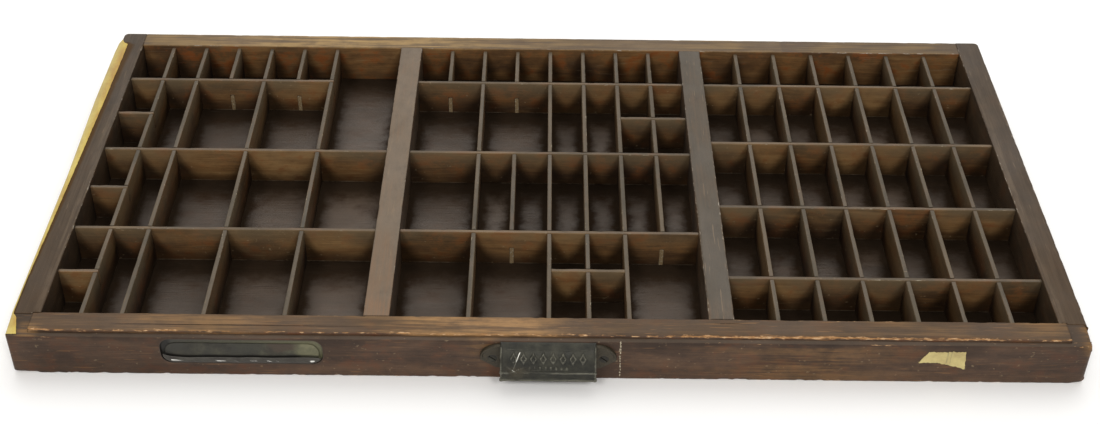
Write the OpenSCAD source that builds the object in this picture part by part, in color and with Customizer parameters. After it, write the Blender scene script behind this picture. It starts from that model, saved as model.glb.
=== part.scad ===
// Compartmented wooden type case: frame, two bars, housed and cross-lapped slats, thin bottom,
// an iron cup pull and a recessed card holder on the front.
// Origin: centre of the underside. X runs along the front, Y from front to back, Z up.

/* [Frame] */
// Overall width
case_w = 819; // [780:1:840]
// Overall depth, without the pull
case_d = 422; // [400:1:440]
// Overall height
case_h = 41; // [38:0.5:46]
// Width of each side rail
rail_w = 21.5; // [20:0.5:24]
// Width of the back rail
back_w = 20; // [18:0.5:24]
// Thickness of the front board
front_t = 24; // [22:0.5:28]
// Width of each of the two bars between the thirds
bar_w = 20; // [18:0.5:24]
// Radius of the two outer corners at the back
corner_r = 4; // [2:0.5:8]

/* [Front strip] */
// How far the front board's own top lies below the strip's top
strip_step = 2.6; // [1:0.2:4]
// Thickness of the strip let into the front board
strip_t = 10; // [8:0.5:12]
// Ledge left in front of the strip
strip_ledge = 4.5; // [3:0.5:6]
// Distance from the case's end to the strip's end
strip_inset = 15.5; // [12:0.5:18]

/* [Bottom] */
// Thickness of the bottom panel
bottom_t = 5; // [3:0.5:6]
// How far the panel runs under the frame on each side
panel_lap = 12; // [8:0.5:13]

/* [Compartments] */
// Clear width of the left third
left_third_w = 245; // [235:0.5:250]
// Clear width of the middle third
middle_third_w = 243.5; // [235:0.5:250]
// Thickness of the slats that run from left to right
cross_slat_t = 3.2; // [2:0.1:4]
// Thickness of the slats that run from front to back
deep_slat_t = 3.6; // [2:0.1:4]
// How far the slats' tops lie below the rails' tops
slat_drop = 3; // [1:0.5:6]
// Depth of the grooves that hold the slats' ends
housing = 3; // [2:0.5:4]
// Play on each side of a lap joint
lap_play = 0.1; // [0.1:0.05:0.3]
// Wider play at the front of each notch in a front-to-back slat
notch_play = 0.8; // [0.1:0.1:1.2]

/* [Pull] */
// Width of the cup, without its ears
pull_w = 72; // [60:1:90]
// Height of the cup
pull_h = 26; // [20:1:27]
// How far the cup stands out from the front
pull_out = 15; // [12:0.5:20]
// Thickness of the casting
pull_t = 2.6; // [2:0.2:3.4]
// Length of each ear
ear_l = 15.6; // [14:0.2:18]
// Place of the pull along the front, from the middle
pull_x = -1.5; // [-20:0.5:20]

/* [Card holder] */
// Width of the recessed pan
pan_w = 124; // [110:1:140]
// Height of the recessed pan
pan_h = 25; // [22:0.5:26]
// Radius of the pan's corners
pan_r = 9; // [6:0.5:11]
// Depth of the recess
pan_d = 3.4; // [3.4:0.2:5]
// Place of the pan along the front, from the middle
pan_x = -233.5; // [-260:0.5:-200]
// Height of the lip that holds the card
lip_h = 6.5; // [4:0.5:8]
// Width of the card
card_w = 116; // [100:1:120]
// Height of the card
card_h = 18; // [12:0.5:19]

/* [Hidden] */
$fn = 48;

x_left = -case_w / 2;
x_right = case_w / 2;
y_front = -case_d / 2;
y_back = case_d / 2;
inner_front = y_front + front_t;
inner_back = y_back - back_w;
inner_d = inner_back - inner_front;
inner_left = x_left + rail_w;
left_bar_x = inner_left + left_third_w;
middle_x = left_bar_x + bar_w;
right_bar_x = middle_x + middle_third_w;
right_x = right_bar_x + bar_w;
right_third_w = x_right - rail_w - right_x;
board_top = case_h - strip_step;
strip_bottom = case_h - strip_t;
slat_top = case_h - slat_drop;
slat_mid = (bottom_t + slat_top) / 2;
block_top = case_h - 0.4;

// Tongues and tenons
tongue_t = 10;
tongue_l = 6;
tongue_top = strip_bottom - 1;
shoulder_d = 1.5;
tenon_l = 12;
tenon_z = [8, 28];
joint_play = 0.1;

// Nails and screws
bore_play = 0.05;
nail_head_r = 2;
nail_head_t = 1;
nail_r = 0.9;
nail_top = 18;
nail_sink = 0.3;
corner_nail_l = 38;
corner_nail_z = [15, 27];
screw_head_r = 3.6;
screw_head_t = 1.8;
screw_r = 1.9;
screw_l = 14;
screw_slot = 0.9;
slot_turn = 38;

// Card holder
pan_z = case_h - 4 - pan_h / 2;
sheet = 0.8;
card_t = 0.5;
card_gap = 0.5;
card_r = 8;

// Pull
pull_z = board_top - 0.4 - pull_h;
ear_t = 2.2;
ear_screw = 6.2;
ear_screw_z = pull_z + 10.5;
rib_w = 2;
rib_t = 0.7;
bead_z = pull_z + 7.5;
bead_t = 1.4;

// Tape
tape_t = 0.25;
tape_drop = 18;
tape_lap = 9;

wood = [0.36, 0.27, 0.21];
slat_wood = [0.45, 0.35, 0.26];
panel_wood = [0.27, 0.2, 0.18];
iron = [0.2, 0.2, 0.18];
steel = [0.45, 0.45, 0.42];
card_colour = [0.5, 0.52, 0.43];
tape_colour = [0.82, 0.74, 0.48];

// Each third: [left edge, clear width, columns]. Rows are counted in sevenths from the back.
LEFT = [inner_left, left_third_w, 8];
MIDDLE = [middle_x, middle_third_w, 8];
RIGHT = [right_x, right_third_w, 7];
ROWS = 7;
tall_row = 5 / 3;
// The short slat near the front of the middle third sits a little behind its row line
set_back_row = 5.88;
// One slat's thickness in columns of the middle third, for short slats that end at a slat's side
butt = 8 * deep_slat_t / (middle_third_w + deep_slat_t);

// Left-to-right slats: [name, third, row line, first column line, last column line]
CROSS = [
    ["left_cross_slat_1", LEFT, 1, 0, 6],
    ["left_cross_slat_2", LEFT, 3, 0, 8],
    ["left_cross_slat_3", LEFT, 5, 0, 8],
    ["left_short_slat_1", LEFT, 2, 0, 1],
    ["left_short_slat_2", LEFT, 4, 0, 1],
    ["left_short_slat_3", LEFT, 6, 0, 1],
    ["middle_cross_slat_1", MIDDLE, 1, 0, 8],
    ["middle_cross_slat_2", MIDDLE, 3, 0, 8],
    ["middle_cross_slat_3", MIDDLE, 5, 0, 8],
    ["middle_short_slat_1", MIDDLE, 2, 6 + butt, 8],
    ["middle_short_slat_2", MIDDLE, set_back_row, 4 + butt, 6 - butt],
    ["right_cross_slat_1", RIGHT, 1, 0, 7],
    ["right_cross_slat_2", RIGHT, 1 + tall_row, 0, 7],
    ["right_cross_slat_3", RIGHT, 1 + 2 * tall_row, 0, 7],
    ["right_cross_slat_4", RIGHT, 6, 0, 7]
];

// Front-to-back slats: [name, third, column line, first row line, last row line]
DEEP = [
    ["left_deep_slat_1", LEFT, 1, 0, 7],
    ["left_deep_slat_2", LEFT, 2, 0, 7],
    ["left_deep_slat_3", LEFT, 3, 0, 1],
    ["left_deep_slat_4", LEFT, 4, 0, 7],
    ["left_deep_slat_5", LEFT, 5, 0, 1],
    ["left_deep_slat_6", LEFT, 6, 0, 7],
    ["middle_deep_slat_1", MIDDLE, 1, 0, 1],
    ["middle_deep_slat_2", MIDDLE, 2, 0, 7],
    ["middle_deep_slat_3_back", MIDDLE, 3, 0, 1],
    ["middle_deep_slat_3_front", MIDDLE, 3, 3, 5],
    ["middle_deep_slat_4", MIDDLE, 4, 0, 7],
    ["middle_deep_slat_5", MIDDLE, 5, 0, 7],
    ["middle_deep_slat_6", MIDDLE, 6, 0, 7],
    ["middle_deep_slat_7", MIDDLE, 7, 0, 5],
    ["right_deep_slat_1", RIGHT, 1, 0, 7],
    ["right_deep_slat_2", RIGHT, 2, 0, 7],
    ["right_deep_slat_3", RIGHT, 3, 0, 7],
    ["right_deep_slat_4", RIGHT, 4, 0, 7],
    ["right_deep_slat_5", RIGHT, 5, 0, 7],
    ["right_deep_slat_6", RIGHT, 6, 0, 7]
];

// Centre of the slat on a column line of a third, and on a row line
function column_x(third, line) =
    third[0] + line * (third[1] + deep_slat_t) / third[2] - deep_slat_t / 2;
function row_y(line) = inner_back - line * (inner_d + cross_slat_t) / ROWS + cross_slat_t / 2;

// Lowest and highest X of a left-to-right slat: into a groove, or to the outer side of the slat on
// its last column line
function cross_low(s) =
    s[3] == 0 ? s[1][0] - housing : column_x(s[1], s[3]) - deep_slat_t / 2;
function cross_high(s) =
    s[4] == s[1][2] ? s[1][0] + s[1][1] + housing : column_x(s[1], s[4]) + deep_slat_t / 2;

// Lowest and highest Y of a front-to-back slat, in the same way
function deep_low(s) = s[4] == ROWS ? inner_front - housing : row_y(s[4]) - cross_slat_t / 2;
function deep_high(s) = s[3] == 0 ? inner_back + housing : row_y(s[3]) + cross_slat_t / 2;

// Whether a left-to-right slat and a front-to-back slat meet
function meet(c, d) =
    c[1] == d[1] && d[2] >= c[3] && d[2] <= c[4] && c[2] >= d[3] && c[2] <= d[4];

module block(low, high) {
    translate(low) cube(high - low);
}

module cross_blank(s) {
    y = row_y(s[2]);
    block([cross_low(s), y - cross_slat_t / 2, bottom_t],
          [cross_high(s), y + cross_slat_t / 2, slat_top]);
}

module deep_blank(s) {
    x = column_x(s[1], s[2]);
    block([x - deep_slat_t / 2, deep_low(s), bottom_t],
          [x + deep_slat_t / 2, deep_high(s), slat_top]);
}

// Left-to-right slats keep their top edge whole and are notched from below
module cross_slat(s) {
    y = row_y(s[2]);
    half = deep_slat_t / 2 + lap_play;
    color(slat_wood) difference() {
        cross_blank(s);
        for (d = DEEP) if (meet(s, d)) {
            x = column_x(d[1], d[2]);
            block([x - half, y - cross_slat_t, bottom_t - 1],
                  [x + half, y + cross_slat_t, slat_mid + lap_play]);
        }
    }
}

// Front-to-back slats are notched from above, a little wide at the front of each notch
module deep_slat(s) {
    x = column_x(s[1], s[2]);
    color(slat_wood) difference() {
        deep_blank(s);
        for (c = CROSS) if (meet(c, s)) {
            y = row_y(c[2]);
            block([x - deep_slat_t, y - cross_slat_t / 2 - notch_play, slat_mid],
                  [x + deep_slat_t, y + cross_slat_t / 2 + lap_play, slat_top + 1]);
        }
    }
}

// Grooves for the ends of the slats of one third, or of all three
module grooves(third) {
    for (s = CROSS) if (s[1] == third) cross_blank(s);
    for (s = DEEP) if (s[1] == third) deep_blank(s);
}

module end_grooves() {
    for (s = DEEP) deep_blank(s);
}

// Places of the nails through the bottom: [x, y]
nail_edge = 15.5;
side_nails = [for (y = [-150, -50, 50, 150], x = [x_left + nail_edge, x_right - nail_edge]) [x, y]];
bar_nails = [for (y = [-150, -50, 50, 150], x = [left_bar_x, right_bar_x]) [x + bar_w / 2, y]];
end_nails = [for (x = [-340, -204, -68, 68, 204, 340], y = [y_front + 18, y_back - 14]) [x, y]];
nail_places = concat(side_nails, bar_nails, end_nails);

module nail(play) {
    translate([0, 0, nail_sink - play]) cylinder(r = nail_head_r + play, h = nail_head_t + play);
    translate([0, 0, nail_sink]) cylinder(r = nail_r + play, h = nail_top - nail_sink + play);
}

module nail_bores() {
    for (p = nail_places) translate([p[0], p[1], 0]) {
        nail(bore_play);
        translate([0, 0, -1]) cylinder(r = nail_head_r + bore_play, h = nail_sink + 1);
    }
}

module corner_nail(play) {
    translate([0, 0, nail_sink - play]) cylinder(r = nail_head_r + play, h = nail_head_t + play);
    translate([0, 0, nail_sink]) cylinder(r = nail_r + play, h = corner_nail_l - nail_sink + play);
}

module at_corner_nails() {
    for (side = [-1, 1], z = corner_nail_z)
        translate([side * case_w / 2, y_back - back_w / 2, z]) rotate([0, -side * 90, 0]) children();
}

module corner_bores() {
    at_corner_nails() {
        corner_nail(bore_play);
        translate([0, 0, -1]) cylinder(r = nail_head_r + bore_play, h = nail_sink + 1);
    }
}

// Tenon on a side rail's front end, grown by the play where it is cut out of the front board
module rail_tenon(x, play) {
    block([x + 5 - play, inner_front - tenon_l - play, tenon_z[0] - play],
          [x + strip_inset + play, inner_front, tenon_z[1] + play]);
}

// Shoulder of a side rail, let into the back of the front board behind the end block
module rail_shoulder(x) {
    block([x, inner_front - shoulder_d, 0], [x + strip_inset, inner_front, case_h]);
}

// Tongue on each end of the back rail
module back_tongue(side, play) {
    inner = side * (case_w / 2 - rail_w);
    outer = inner + side * (tongue_l + play);
    y = y_back - back_w / 2;
    block([min(inner, outer), y - tongue_t / 2 - play, bottom_t],
          [max(inner, outer), y + tongue_t / 2 + play, tongue_top + play]);
}

// Tongues on the two ends of a bar
module bar_tongues(x, play) {
    low = x + (bar_w - tongue_t) / 2 - play;
    high = x + (bar_w + tongue_t) / 2 + play;
    block([low, inner_front - tongue_l - play, bottom_t], [high, inner_front, tongue_top + play]);
    block([low, inner_back, bottom_t], [high, inner_back + tongue_l + play, tongue_top + play]);
}

// The bottom panel's own space, which the frame is rebated for
module panel_blank(below) {
    block([x_left + rail_w - panel_lap, y_front + panel_lap, -below],
          [x_right - rail_w + panel_lap, y_back - back_w + panel_lap, bottom_t]);
}

// Left side rail as it lies; the right one is its mirror image before the grooves are cut
module rail_blank() {
    block([x_left, inner_front, 0], [inner_left, y_back - corner_r, case_h]);
    block([x_left + corner_r, y_back - corner_r - 1, 0], [inner_left, y_back, case_h]);
    translate([x_left + corner_r, y_back - corner_r, 0]) cylinder(r = corner_r, h = case_h);
    rail_shoulder(x_left);
    rail_tenon(x_left, 0);
}

module side_rail_cuts(side) {
    panel_blank(1);
    back_tongue(side, joint_play);
    nail_bores();
    corner_bores();
}

module left_side_rail() {
    color(wood) difference() {
        rail_blank();
        side_rail_cuts(-1);
        grooves(LEFT);
    }
}

module right_side_rail() {
    color(wood) difference() {
        mirror([1, 0, 0]) rail_blank();
        side_rail_cuts(1);
        grooves(RIGHT);
    }
}

module back_rail() {
    color(wood) difference() {
        union() {
            block([inner_left, inner_back, 0], [x_right - rail_w, y_back, case_h]);
            back_tongue(-1, 0);
            back_tongue(1, 0);
        }
        panel_blank(1);
        bar_tongues(left_bar_x, joint_play);
        bar_tongues(right_bar_x, joint_play);
        end_grooves();
        nail_bores();
        corner_bores();
    }
}

module bar(x) {
    difference() {
        union() {
            block([x, inner_front, bottom_t], [x + bar_w, inner_back, case_h]);
            bar_tongues(x, 0);
        }
        nail_bores();
        children();
    }
}

module left_bar() {
    color(wood) bar(left_bar_x) {
        grooves(LEFT);
        grooves(MIDDLE);
    }
}

module right_bar() {
    color(wood) bar(right_bar_x) {
        grooves(MIDDLE);
        grooves(RIGHT);
    }
}

// The strip's own space, which the front board is rebated for
module strip_blank(past) {
    block([x_left + strip_inset, y_front + strip_ledge, strip_bottom],
          [x_right - strip_inset, inner_front + past, case_h + past]);
}

// Top of an end block, which slopes from the side rail down to the strip's front edge, grown upwards by t
module block_slope(low_x, high_x, t) {
    translate([low_x, 0, 0]) rotate([90, 0, 90]) linear_extrude(high_x - low_x)
        polygon([[y_front + strip_ledge, strip_bottom], [y_front + strip_ledge, board_top + t],
                 [inner_front - shoulder_d, block_top + t], [inner_front - shoulder_d, strip_bottom]]);
}

// Upright outline with four round corners, centred, lying across the front
module round_plate(w, h, r, d) {
    rotate([90, 0, 0]) translate([0, 0, -d]) linear_extrude(d) {
        square([w - 2 * r, h], center = true);
        square([w, h - 2 * r], center = true);
        for (x = [-1, 1], y = [-1, 1])
            translate([x * (w / 2 - r), y * (h / 2 - r)]) circle(r = r);
    }
}

module at_pan() {
    translate([pan_x, y_front, pan_z]) children();
}

module front_board() {
    color(wood) difference() {
        union() {
            block([x_left, y_front, 0], [x_right, inner_front, board_top]);
            block_slope(x_left, x_left + strip_inset, 0);
            block_slope(x_right - strip_inset, x_right, 0);
        }
        strip_blank(1);
        panel_blank(1);
        for (x = [x_left, x_right - strip_inset])
            block([x, inner_front - shoulder_d, -1], [x + strip_inset, inner_front + 1, case_h]);
        rail_tenon(x_left, joint_play);
        mirror([1, 0, 0]) rail_tenon(x_left, joint_play);
        bar_tongues(left_bar_x, joint_play);
        bar_tongues(right_bar_x, joint_play);
        end_grooves();
        nail_bores();
        at_pan() translate([0, -1, 0]) round_plate(pan_w, pan_h, pan_r, pan_d + 1);
        at_screws() cylinder(r = screw_r + bore_play, h = screw_l + 1);
    }
}

module front_top_strip() {
    color(wood) difference() {
        strip_blank(0);
        end_grooves();
    }
}

module bottom_panel() {
    color(panel_wood) difference() {
        panel_blank(0);
        nail_bores();
    }
}

// Quarter of an ellipse from the pull's lower edge up to the face of the board
function cup_curve(out, up, steps = 24) =
    [for (i = [0:steps]) [out * cos(90 * i / steps), up * sin(90 * i / steps)]];

// Hooded shell between two such curves, w long
module cup_shell(out, up, t, w) {
    inside = cup_curve(out - t, up - t);
    back = [for (i = [len(inside) - 1:-1:0]) inside[i]];
    along_front(w) polygon(concat(cup_curve(out, up), back));
}

// Turns an outline drawn as [distance out, height] into a solid centred along the front
module along_front(w) {
    rotate([90, 0, 90]) translate([0, 0, -w / 2]) linear_extrude(w) mirror([1, 0]) children();
}

module cheek(w) {
    along_front(w) polygon(concat([[0, 0]], cup_curve(pull_out, pull_h)));
}

// Flat ear with a bowed upper edge
ear_curve = [for (i = [0:12]) [ear_l * sin(90 * i / 12), 12 + 12 * cos(90 * i / 12)]];

module ear() {
    rotate([90, 0, 0]) linear_extrude(ear_t)
        polygon(concat([[-1, 1], [-1, 24]], ear_curve, [[ear_l, 9], [4, 1]]));
}

module at_pull() {
    translate([pull_x, y_front, pull_z]) children();
}

// Screw axes, pointing into the board from its face
module at_screws() {
    for (side = [-1, 1])
        translate([pull_x + side * (pull_w / 2 + ear_screw), y_front, ear_screw_z])
            rotate([-90, 0, 0]) children();
}

module screw_head(play) {
    translate([0, 0, -ear_t]) cylinder(r1 = screw_head_r + play, r2 = screw_r + play, h = screw_head_t);
}

module drawer_pull() {
    color(iron) difference() {
        union() {
            at_pull() {
                cup_shell(pull_out, pull_h, pull_t, pull_w);
                for (side = [-1, 1]) {
                    translate([side * (pull_w - pull_t) / 2, 0, 0]) cheek(pull_t);
                    translate([side * (pull_w - rib_w) / 2, 0, 0])
                        cup_shell(pull_out + rib_t, pull_h, pull_t, rib_w);
                }
                translate([0, -pull_out + pull_t / 2, bead_z - pull_z]) rotate([0, 90, 0])
                    cylinder(r = bead_t, h = pull_w - 2 * rib_w, center = true);
                for (side = [0, 1]) mirror([side, 0, 0]) translate([pull_w / 2, 0, 0]) ear();
            }
        }
        at_screws() {
            translate([0, 0, -ear_t - 1]) cylinder(r = screw_r + 0.3, h = ear_t + 2);
            screw_head(bore_play);
        }
    }
}

module pull_screws() {
    color(iron) at_screws() difference() {
        union() {
            screw_head(0);
            translate([0, 0, -ear_t]) cylinder(r = screw_r, h = screw_l + ear_t);
        }
        rotate([0, 0, slot_turn]) translate([-screw_head_r - 1, -screw_slot / 2, -ear_t - 1])
            cube([2 * screw_head_r + 2, screw_slot, 1.9]);
    }
}

// Pressed pan: back, rim and a lip that stands in front of the card's lower edge
module card_holder() {
    inner_w = pan_w - 2 * sheet;
    inner_h = pan_h - 2 * sheet;
    inner_r = pan_r - sheet;
    color(steel) at_pan() {
        difference() {
            round_plate(pan_w, pan_h, pan_r, pan_d);
            translate([0, -1, 0]) round_plate(inner_w, inner_h, inner_r, pan_d - sheet + 1);
        }
        intersection() {
            translate([0, 0.3, 0]) round_plate(pan_w - sheet, pan_h - sheet, pan_r - sheet / 2, sheet);
            block([-pan_w / 2, 0, -pan_h / 2], [pan_w / 2, sheet + 1, -pan_h / 2 + lip_h]);
        }
    }
}

// Card standing on the holder's lower rim, behind its lip
module label_card() {
    rest_z = -pan_h / 2 + sheet + 0.1 + card_h / 2;
    color(card_colour) at_pan() translate([0, 0.3 + sheet + card_gap, rest_z])
        round_plate(card_w, card_h, card_r, card_t);
}

module bottom_nails() {
    color(steel) for (p = nail_places) translate([p[0], p[1], 0]) nail(0);
}

module corner_nails() {
    color(steel) at_corner_nails() corner_nail(0);
}

// Paper tape: a torn strip on the left rail's top that is folded down its outer face
tape_back = y_back - 12;
tape_top_edge = [[0, tape_back - 4], [4.5, tape_back], [7, tape_back - 30], [6, tape_back - 110],
    [4.5, tape_back - 190], [3, tape_back - 270], [1.5, tape_back - 330], [0, tape_back - 350]];

module side_tape() {
    color(tape_colour) {
        translate([x_left, 0, case_h]) linear_extrude(tape_t) polygon(tape_top_edge);
        block([x_left - tape_t, y_front + 2, board_top - tape_drop],
              [x_left, tape_back - 4, board_top]);
        block([x_left - tape_t, inner_front - shoulder_d, board_top - 1],
              [x_left, tape_back - 4, case_h + tape_t]);
        difference() {
            union() {
                block([x_left - tape_t, y_front + 2, board_top - 1],
                      [x_left + tape_lap, y_front + strip_ledge, board_top + tape_t]);
                block_slope(x_left - tape_t, x_left + tape_lap, tape_t);
            }
            block([x_left, y_front, 0], [x_left + tape_lap + 1, inner_front, board_top]);
            block_slope(x_left, x_left + tape_lap + 1, 0);
        }
    }
}

// Torn scrap of the same tape on the front
scrap_outline = [[0, 0], [7, 11.5], [34, 11.5], [36, -6.5], [29, -4], [15, 0.3]];

module tape_scrap() {
    color(tape_colour) translate([279.5, y_front, 21]) rotate([90, 0, 0])
        linear_extrude(tape_t) polygon(scrap_outline);
}

left_side_rail();
right_side_rail();
back_rail();
front_board();
front_top_strip();
bottom_panel();
left_bar();
right_bar();
for (s = CROSS) cross_slat(s);
for (s = DEEP) deep_slat(s);
drawer_pull();
pull_screws();
card_holder();
label_card();
bottom_nails();
corner_nails();
side_tape();
tape_scrap();
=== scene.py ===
"""Looks of the type case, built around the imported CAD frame. Lengths are in mm until a mesh is made."""

import math

import bmesh
import bpy
import numpy as np
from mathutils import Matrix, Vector, noise


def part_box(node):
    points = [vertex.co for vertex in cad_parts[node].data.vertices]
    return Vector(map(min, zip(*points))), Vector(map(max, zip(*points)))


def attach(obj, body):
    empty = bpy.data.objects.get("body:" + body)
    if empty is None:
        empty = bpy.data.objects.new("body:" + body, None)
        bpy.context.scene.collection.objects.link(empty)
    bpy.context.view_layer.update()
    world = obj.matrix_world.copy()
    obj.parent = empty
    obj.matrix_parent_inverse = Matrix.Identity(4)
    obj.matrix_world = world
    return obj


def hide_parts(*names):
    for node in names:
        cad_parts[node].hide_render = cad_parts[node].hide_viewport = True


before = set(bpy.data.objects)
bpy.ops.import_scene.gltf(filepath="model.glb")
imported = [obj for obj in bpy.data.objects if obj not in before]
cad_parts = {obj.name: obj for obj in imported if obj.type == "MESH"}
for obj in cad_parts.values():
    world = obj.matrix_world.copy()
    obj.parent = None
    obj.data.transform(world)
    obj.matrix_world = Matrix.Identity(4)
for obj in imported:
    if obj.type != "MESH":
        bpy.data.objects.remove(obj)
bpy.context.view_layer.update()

MM = 0.001
BOX = {n: np.array([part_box(n)[0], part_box(n)[1]]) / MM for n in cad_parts}

# Sizes of the CAD frame
X_END = 409.5
Y_FRONT = -211.0
Y_BACK = 211.0
TOP = 41.0
RAIL_W = 21.5
RAIL_FRONT = -188.5
INNER_FRONT = -187.0
INNER_BACK = 191.0
INNER_X = X_END - RAIL_W
BOTTOM_T = 5.0
PANEL_X = 400.0
PANEL_FRONT = -199.0
PANEL_BACK = 203.0
BOARD_TOP = 38.4
BLOCK_TOP = 40.6
STRIP_X = 394.0
STRIP_FRONT = -206.5
STRIP_BOTTOM = 31.0
CORNER_R = 4.0
PAN_X = -233.5
PAN_Z = 24.5
PAN_W = 124.0
PAN_H = 25.0
PAN_R = 9.0
PAN_D = 3.4
SHEET = 0.8
LIP_H = 6.5
PULL_X = -1.5
PULL_Z = 12.0
PULL_W = 72.0
PULL_H = 26.0
PULL_OUT = 15.0
PULL_T = 2.6
EAR_L = 15.6
EAR_T = 2.2
EAR_SCREW_X = 6.2
EAR_SCREW_Z = 10.5
HEAD_R = 3.65
SHANK_R = 2.2
NAIL_HEAD_R = 2.05
SLAT_TOP = 38.0
SLAT_MID = 21.5
LAP_PLAY = 0.1
NOTCH_PLAY = 0.8

# The camera: focal length and image width in the same unit, place in metres, turn in radians
FOCAL_LENGTH = 1574.506
IMAGE_WIDTH = 1100
CAMERA_PLACE = (-0.006975, -1.077678, 0.849421)
CAMERA_TURN = (0.900585, -0.011595, 0.003180)

# The nails: those at the back corners, those through the bottom into the rails and bars, and those
# through the bottom into the front board and the back rail, left and right of the middle
CORNER_NAIL_Y = 201
CORNER_NAILS_Z = (15, 27)
LONG_NAILS_X = (-394, -133, 130.5, 394)
LONG_NAILS_Y = (-150, -50, 50, 150)
WIDE_NAILS_X = (340, 204, 68)
WIDE_NAILS_Y = (-193, 197)

# Rounding of the edges that other pieces hide, and the height of a rebate or step that isn't there
HIDDEN_R = 0.2
NO_RISE = 0.05

# Run of a step in a piece's outline, and how far dirt spreads from a slat's joint
STEP = 0.02
GAP_DIRT_W = 0.7

# Steps round each rounded corner of a length of wood, and the wear that bares clean end grain
ARC = 4
END_GRAIN_WEAR = 1.7

# Edges that bend more than this are shaded sharp
SHARP_ANGLE = math.radians(40)

CROSS = sorted(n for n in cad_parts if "cross_slat" in n or "short_slat" in n)
DEEP = sorted(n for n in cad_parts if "deep_slat" in n)


# ---------------------------------------------------------------- numbers

def wave(values, seed, scale):
    """Smooth noise from -1 to 1 along a list of numbers."""
    return np.array([noise.noise(Vector((v / scale, seed * 7.31, 1.7))) for v in values])


def cloud(points, seed, scale):
    """Smooth noise from -1 to 1 at points."""
    shift = Vector((seed * 3.7, seed * 1.3, seed * 5.9))
    return np.array([noise.noise(Vector(p) / scale + shift) for p in points])


def chips(values, seed, count, width, depth):
    """Wear from small bites at random places."""
    rng = np.random.default_rng(seed)
    found = np.zeros(len(values))
    for _ in range(count):
        centre = rng.uniform(values[0], values[-1])
        half = width * rng.uniform(0.4, 1.3)
        bite = depth * rng.uniform(0.3, 1.0) * unit(1 - ((values - centre) / half) ** 2)
        found = np.maximum(found, bite)
    return found


def bites(*numbers):
    """The wear of chips, as a function of place alone."""
    return lambda values: chips(values, *numbers)


def torn(values, seed, size=0.5):
    """A torn edge's raggedness."""
    return size * (wave(values, seed, 1.6) + 0.6 * wave(values, seed + 0.5, 5))


def unit(values):
    """Values kept from 0 to 1."""
    return np.clip(values, 0, 1)


def hump(values, centre, half, soft=0.3):
    """1 within half of the centre, and smoothly down to 0 beyond it."""
    share = unit(1 - (np.abs(np.asarray(values) - centre) - half) / soft)
    return share * share * (3 - 2 * share)


def bell(values, centre, width, power=2):
    """1 at the centre, and down towards 0 beyond the width."""
    return np.exp(-((values - centre) / width) ** power)


def turns_round(count):
    """Angles evenly round a circle."""
    return np.linspace(0, 2 * math.pi, count + 1)[:-1]


# Walls in plan: those that run from front to back, and those that run from left to right
LONG = ["left_side_rail", "right_side_rail", "left_bar", "right_bar"] + DEEP
WIDE = ["back_rail", "front_top_strip"] + CROSS
WALLS = [np.array([BOX[n][:, :2] for n in names]) for names in (LONG, WIDE)]


def corner_gap(points, run):
    """How far points beside a wall, (x, y), are from the nearest wall across their way, and their box."""
    across = 1 - run
    low, high = WALLS[run][:, 0], WALLS[run][:, 1]
    beside = (low[None, :, across] - 0.5 < points[:, None, across]) & (
        points[:, None, across] < high[None, :, across] + 0.5)
    middle = (low[None, :, run] + high[None, :, run]) / 2
    half = (high[None, :, run] - low[None, :, run]) / 2
    gap = np.abs(points[:, None, run] - middle) - half
    gap = np.where(beside, np.maximum(gap, 0), 1e3).min(1)
    passed = (beside & (middle < points[:, None, run])).sum(1)
    return gap, passed


def room_behind(points):
    """How far points (x, y) are from the next wall behind them, towards the back."""
    low, high = WALLS[1][:, 0], WALLS[1][:, 1]
    beside = (low[None, :, 0] < points[:, None, 0]) & (points[:, None, 0] < high[None, :, 0])
    room = low[None, :, 1] - points[:, None, 1]
    return np.where(beside & (room > -4), np.maximum(room, 0), 1e3).min(1)


def dice(*numbers):
    """Evenly spread random numbers from 0 to 1, the same each time for the same numbers."""
    total = sum(n * f for n, f in zip(numbers, (12.9898, 78.233, 37.719, 93.989)))
    return np.modf(np.abs(np.sin(total)) * 43758.5453)[0]


def box_dirt_and_shade(points, run, seed):
    """Dirt and painted shade in a box's corners, and the box's own tone, at points just off a wall."""
    gap, passed = corner_gap(points, run)
    row = np.floor(points[:, 1 - run] / 3.0)
    dirt_and_shade = np.exp(-gap / 7.0) * unit((60 - gap) / 60)
    tone = np.where(gap < 500, dice(passed.astype(float), row, seed), 0.5)
    return dirt_and_shade, tone


# ---------------------------------------------------------------- meshes

def make_object(name, verts, faces, attributes=None):
    """A smooth object from points in mm. attributes are named numbers, one for each point."""
    mesh = bpy.data.meshes.new(name)
    mesh.from_pydata([tuple(v) for v in np.asarray(verts) * MM], [], faces)
    for key, values in (attributes or {}).items():
        layer = mesh.attributes.new(key, "FLOAT", "POINT")
        layer.data.foreach_set("value", np.asarray(values, np.float32))
    work = bmesh.new()
    work.from_mesh(mesh)
    bmesh.ops.recalc_face_normals(work, faces=work.faces)
    work.to_mesh(mesh)
    work.free()
    mesh.shade_smooth()
    mesh.set_sharp_from_angle(angle=SHARP_ANGLE)
    made = bpy.data.objects.new(name, mesh)
    bpy.context.scene.collection.objects.link(made)
    return made


def place(piece, nodes, material, body="case"):
    """Gives a piece its material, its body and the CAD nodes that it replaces."""
    piece.data.materials.clear()
    piece.data.materials.append(material)
    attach(piece, body)
    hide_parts(*nodes)
    return piece


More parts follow.
